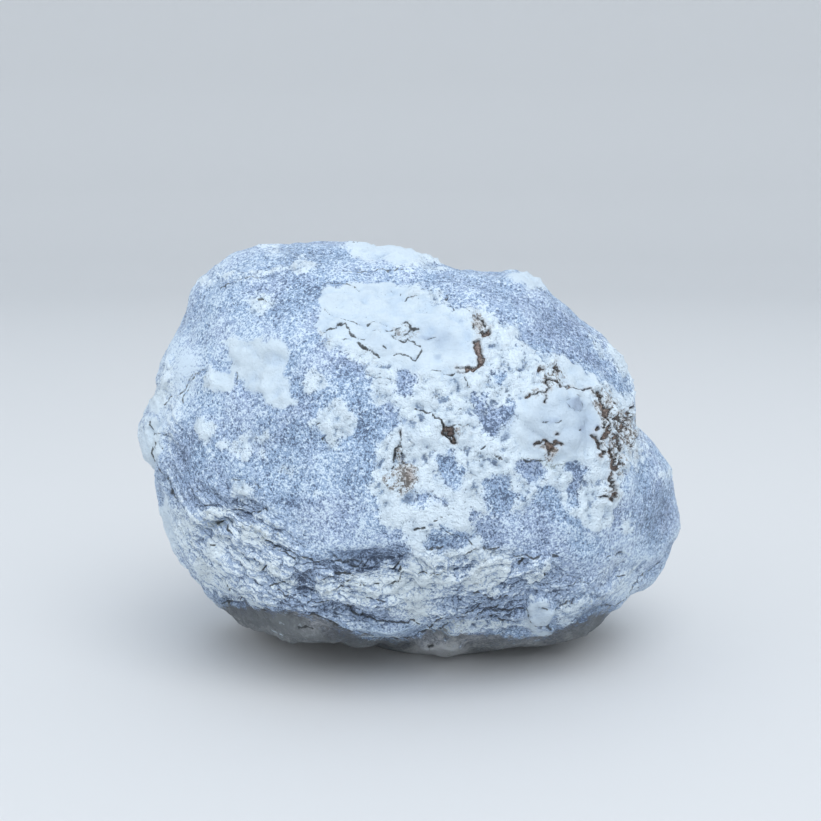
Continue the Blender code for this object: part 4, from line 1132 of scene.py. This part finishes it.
class Stone(Nodes):
    """The stone's nodes, with the noises and marks that its looks share."""

    def __init__(self, tree):
        super().__init__(tree)
        self.place = self.term("ShaderNodeTexCoord", "Object")
        grain = {"Place": self.place, "Size": GRAIN_SIZE, "Coarse": COARSE_SHARE}
        self.sugar = self.term("ShaderNodeGroup", "Grain", grain, node_tree=grain_group())
        self.pits = self.noise(PIT_SIZE, 2, 0.7) * PIT_GAIN
        self.speck = self.noise(SPECK_SIZE, 2, 0.6)
        self.flecks = self.noise(FLECK_SIZE, 3, 0.65)
        self.dusty = self.noise(DUST_SIZE, 4, 0.7)
        self.lumpy = abs(self.noise(CLUMP_SIZE, 3, 0.6))
        self.mottle = self.noise(MOTTLE_SIZE, 3, 0.6)
        self.shade = self.noise(SHADE_SIZE, 3)
        self.drift = self.noise(DRIFT_SIZE)
        self.pale, self.hollow = self.attribute("paleness"), self.attribute("hollow")
        self.under, self.cracked = self.attribute("under"), self.attribute("crack_open")
        self.smooth = self.attribute("smoothness").ramp(*DOUGHY)
        self.crumbly = 1 - self.smooth
        self.folds = self.attribute("folded") * self.smooth.between(1, SMOOTH_FOIL)
        self.folds *= self.under.between(1, UNDER_FOIL)
        foils = crumple_group()
        self.foils = []
        layers = {"Place": self.place, "Layer": self.attribute("layer_bent")}
        for size, stretch in FOIL_SIZES:
            inputs = {**layers, "Size": size, "Stretch": stretch}
            self.foils.append(self.terms("ShaderNodeGroup", inputs, node_tree=foils))


def blue_sugar(stone):
    """Sugary blue, lighter on its crystals, with painted shade in its hollows and the paleness's painted
    light and shade.
    """
    tone = stone.sugar * 0.92 + stone.flecks * 0.22 + stone.mottle * 0.18
    # Minus the hollow: painted shade, darker where the skin lies below its surroundings.
    tone += stone.pale * 0.40 - stone.hollow * 0.9 + 0.02
    middle = stone.mix(stone.drift.share("lavender"), BLUE_MIDDLE, BLUE_LAVENDER)
    blue = stone.mix(tone.share("blue"), BLUE_DARK, middle)
    return stone.mix(tone.share("light blue"), blue, BLUE_LIGHT)


def chalky_white(stone, blue):
    """Chalk, dusted and smudged where it crumbles, pitted, and clear under its thinnest skin. Painted shade
    turns it to shaded white at random and in its hollows, where dust, pits and smudges are also drawn thicker
    as painted shade.
    """
    # Crumbly white painted brighter: painted light.
    colour = stone.mix(stone.crumbly, WHITE_FULL, WHITE_CRUMBLY_BRIGHTENED)
    # Painted shade: shaded white at random and in hollows.
    colour = stone.mix((stone.shade + stone.hollow * 2).share("shade"), colour, WHITE_SHADED)
    # The hollow terms from here on thicken dust, pits and smudges in hollows as painted shade.
    dust = stone.mottle + stone.flecks * 0.6 + stone.hollow * 1.5
    colour = stone.mix(dust.share("dust") * stone.crumbly, colour, BLUE_DUST_AND_SHADE)
    pitted = stone.pits + stone.hollow * 3 - stone.smooth * 0.75
    colour = stone.mix(pitted.share("pits"), colour, PIT_GREY)
    smudge_and_shade = stone.mottle * 0.60 + stone.flecks * 0.70 + stone.sugar * 0.40
    smudge_and_shade += stone.hollow * 2.4 - stone.lumpy * 0.5
    colour = stone.mix(smudge_and_shade.share("blue gaps") * stone.crumbly, colour, blue)
    colour = stone.mix(smudge_and_shade.share("smudges") * stone.crumbly, colour, SMUDGE_AND_SHADE_GREY)
    clear = stone.attribute("clearness")
    colour = stone.mix(clear.share("clear"), colour, CLEAR_GREY)
    return stone.mix((clear + stone.pits * 0.1).share("deep clear"), colour, CLEAR_DEEP)


def folded_layers(stone, white):
    """Crumpled foil-like layers with painted light and shade: lighter on the scales' raised and upturned
    sides, and painted shade in their crevices and hollows.
    """
    coarse, fine = stone.foils
    broken = (stone.mottle + stone.flecks * 0.5).ramp(*CREVICE_BREAKS)
    tone = coarse["Height"] * 0.50 + fine["Height"] * 0.30 + stone.sugar * 0.46 + stone.flecks * 0.32
    tone += stone.pale * 0.38 - stone.hollow + (white - 0.5) * 0.60 + 0.42
    tone -= coarse["Crevice"] * broken + fine["Crevice"] * 0.35
    # Painted shade at the dark end, and white with painted highlight at the light end.
    foil = stone.mix(tone.share("foil"), FOIL_GRAIN_AND_SHADE, FOIL_BLUE)
    return stone.mix(tone.share("white foil"), foil, FOIL_WHITE_AND_HIGHLIGHT)


def underside(stone, colour):
    """The smooth underside, darkened as painted shade, paler in patches."""
    tone = stone.drift * 0.6 + stone.flecks * 0.6 + stone.sugar * 0.3 + stone.pale * 0.8
    warm = stone.mix(tone.share("pale underside"), UNDER_SHADE, UNDER_PALE)
    share = (stone.under + stone.flecks * 0.5 + stone.mottle * 0.4).share("underside")
    return stone.mix(share * stone.under.share("underside ground"), colour, warm)


def soiled(stone, colour):
    """Greenish-grey earth in hollows, tan dust round the cracks and brown spots."""
    earth, stained = stone.attribute("earth"), stone.attribute("stain")
    share = (earth + stone.sugar * 0.7 + stone.flecks * 0.5).share("earth") * earth.share("earthy ground")
    colour = stone.mix(share, colour, EARTH_GREY)
    dust = (stone.cracked + stone.dusty * 0.30).share("crack dust")
    tan = (stained + stone.dusty * 0.9).share("tan") * stained.share("tan ground")
    tint = stone.mix(stained.share("orange"), STAIN_TAN, STAIN_ORANGE)
    colour = stone.mix(stone.math("MAXIMUM", dust, tan), colour, tint)
    spots = stone.speck + stone.sugar * 0.8 + stone.dusty * 0.6 + stained * 0.50
    return stone.mix(spots.share("brown spots") * stained.share("spotted ground"), colour, STAIN_BROWN)


def cracks(stone, colour):
    """Cracks with dark lips, and brown earth that fills the wide ones."""
    filled = (stone.speck + stone.dusty * 0.5 + stone.sugar * 0.9).share("pale earth")
    earth = stone.mix(filled, BROWN_RUST, BROWN_PALE)
    darker = (stone.pits + stone.dusty * 0.4 + stone.sugar * 0.5).share("dark earth")
    earth = stone.mix(darker, earth, BROWN_DARK)
    ragged = stone.cracked + stone.sugar * 0.07 + stone.flecks * 0.09 + stone.speck * 0.05
    earth = stone.mix(ragged.share("crack middle"), BROWN_DARK, earth)
    return stone.mix(ragged.share("crack"), colour, earth)


def creases(stone, colour):
    """Fine dark creases and cracks, some of them painted shadow lines along the lower rim and the folds."""
    ragged = stone.attribute("crease_reach") + stone.flecks * 0.09 + stone.sugar * 0.04
    return stone.mix(ragged.share("crease") + ragged.share("crease middle"), colour, CREASE_AND_SHADOW_GREY)


def fine_relief(stone):
    """Relief too fine for the mesh, in millimetres."""
    white = stone.attribute("white_edge").share("whiteness")
    height = stone.sugar * white.between(*SUGAR_BUMP) + stone.flecks * FLECK_BUMP
    height += stone.pits * white * stone.smooth.between(*PIT_BUMP)
    for foil, bump in zip(stone.foils, FOIL_BUMPS):
        height += foil["Height"] * bump * stone.folds
    height += stone.lumpy.share("lumps") * white * stone.crumbly - stone.cracked.share("open crack")
    return stone.term("ShaderNodeBump", 0, {"Strength": 1, "Distance": MM, "Height": height})


def stone_finish():
    """Angelite: sugary blue grain, chalky white, brown-filled cracks and dark creases, with painted shade in
    hollows, crevices, creases and on the underside, and painted light on crests and the crumbly white.
    """
    material = bpy.data.materials.new("angelite_stone")
    material.use_nodes = True
    stone = Stone(material.node_tree)
    rag = stone.flecks * stone.smooth.between(*FLECK_RAG) + stone.sugar * stone.smooth.between(*SUGAR_RAG)
    white = (stone.attribute("white_edge") + rag).share("white")
    blue = blue_sugar(stone)
    colour = stone.mix(white, blue, chalky_white(stone, blue))
    colour = stone.mix(stone.folds * FOIL_SHARE, colour, folded_layers(stone, white))
    colour = creases(stone, cracks(stone, soiled(stone, underside(stone, colour))))
    rough = white.between(*ROUGHNESS) + stone.sugar * 0.06 - stone.attribute("clearness") * 0.16
    shader = material.node_tree.nodes["Principled BSDF"].inputs
    looks = {"Base Color": colour, "Roughness": rough, "Normal": fine_relief(stone)}
    for name, term in looks.items():
        stone.tree.links.new(term.socket, shader[name])
    shader["Specular IOR Level"].default_value = SHININESS
    return material


# ======== studio
FLOOR_GREY = (0.702, 0.702, 0.702)
FLOOR_ROUGHNESS = 0.75
FLOOR_PROFILE = ((0.9, 0), (1.10, 0.02), (1.26, 0.09), (1.36, 0.22), (1.40, 0.40), (1.41, 0.70))
FLOOR_SIDES = 96
SKY_COLOUR = (0.80, 0.88, 0.97)
SKY_STRENGTH = 0.98
LIGHTS = (
    ("overhead_softbox", (0.18, -0.50, 0.80), 0.90, 4.1, (0.98, 0.99, 1)),
    ("left_softbox", (-0.75, -0.35, 0.30), 0.60, 0.68, (0.97, 0.985, 1)),
    ("front_softbox", (0.05, -0.95, 0.14), 0.50, 0.9, (0.96, 0.98, 1)),
)
CAMERA_PLACE = (-4.95, -212.90, 73.18)
CAMERA_PITCH = 9
CAMERA_FIELD = 35.04
CAMERA_SENSOR = 36
CAMERA_NEAREST = 0.01


def floor_finish():
    """Plain pale grey."""
    material = bpy.data.materials.new("pale_floor")
    material.use_nodes = True
    shader = material.node_tree.nodes["Principled BSDF"]
    shader.inputs["Base Color"].default_value = (*FLOOR_GREY, 1)
    shader.inputs["Roughness"].default_value = FLOOR_ROUGHNESS
    return material


def studio_floor():
    """A pale round floor that sweeps up at its edge."""
    points = [(0, 0, 0)]
    for radius, height in FLOOR_PROFILE:
        for side in range(FLOOR_SIDES):
            angle = 2 * math.pi * side / FLOOR_SIDES
            points.append((radius * math.cos(angle), radius * math.sin(angle), height))
    faces = [(0, 1 + side, 1 + (side + 1) % FLOOR_SIDES) for side in range(FLOOR_SIDES)]
    for ring in range(len(FLOOR_PROFILE) - 1):
        start = 1 + ring * FLOOR_SIDES
        for side in range(FLOOR_SIDES):
            this, after = start + side, start + (side + 1) % FLOOR_SIDES
            faces.append((this, this + FLOOR_SIDES, after + FLOOR_SIDES, after))
    mesh = bpy.data.meshes.new("studio_floor")
    mesh.from_pydata(points, [], faces)
    mesh.shade_smooth()
    mesh.materials.append(floor_finish())
    floor = bpy.data.objects.new("studio_floor", mesh)
    bpy.context.scene.collection.objects.link(floor)


def studio_lights():
    """A soft sky all round, a wide softbox above and weak ones to the side and in front."""
    world = bpy.data.worlds.new("soft_sky")
    world.use_nodes = True
    background = world.node_tree.nodes["Background"]
    background.inputs["Color"].default_value = (*SKY_COLOUR, 1)
    background.inputs["Strength"].default_value = SKY_STRENGTH
    bpy.context.scene.world = world
    for name, spot, size, power, colour in LIGHTS:
        light = bpy.data.lights.new(name, "AREA")
        light.shape = "DISK"
        light.size, light.energy, light.color = size, power, colour
        softbox = bpy.data.objects.new(name, light)
        softbox.location = spot
        softbox.rotation_euler = (Vector(MIDDLE * MM) - Vector(spot)).to_track_quat("-Z", "Y").to_euler()
        bpy.context.scene.collection.objects.link(softbox)


def studio_camera():
    camera = bpy.data.cameras.new("camera")
    camera.sensor_width = CAMERA_SENSOR
    camera.lens = CAMERA_SENSOR / 2 / math.tan(math.radians(CAMERA_FIELD / 2))
    camera.clip_start = CAMERA_NEAREST
    stand = bpy.data.objects.new("camera", camera)
    stand.location = Vector(CAMERA_PLACE) * MM
    stand.rotation_euler = (math.radians(90 - CAMERA_PITCH), 0, 0)
    bpy.context.scene.collection.objects.link(stand)
    bpy.context.scene.camera = stand


# ======== the nodule
def nodule_skin():
    """The CAD solid's fine skin, with its relief, marks and finish."""
    skin = merged_copy(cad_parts[NODE], "nodule_skin")
    remesh(skin)
    refine(skin)
    describe(skin)
    carve(skin, stone_finish())
    keep_hollows(skin)
    skin.data.shade_smooth()
    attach(skin, "root")
    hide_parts(NODE)
    return skin


studio_floor()
studio_lights()
studio_camera()
nodule_skin()
bpy.context.scene.view_settings.view_transform = "Standard"
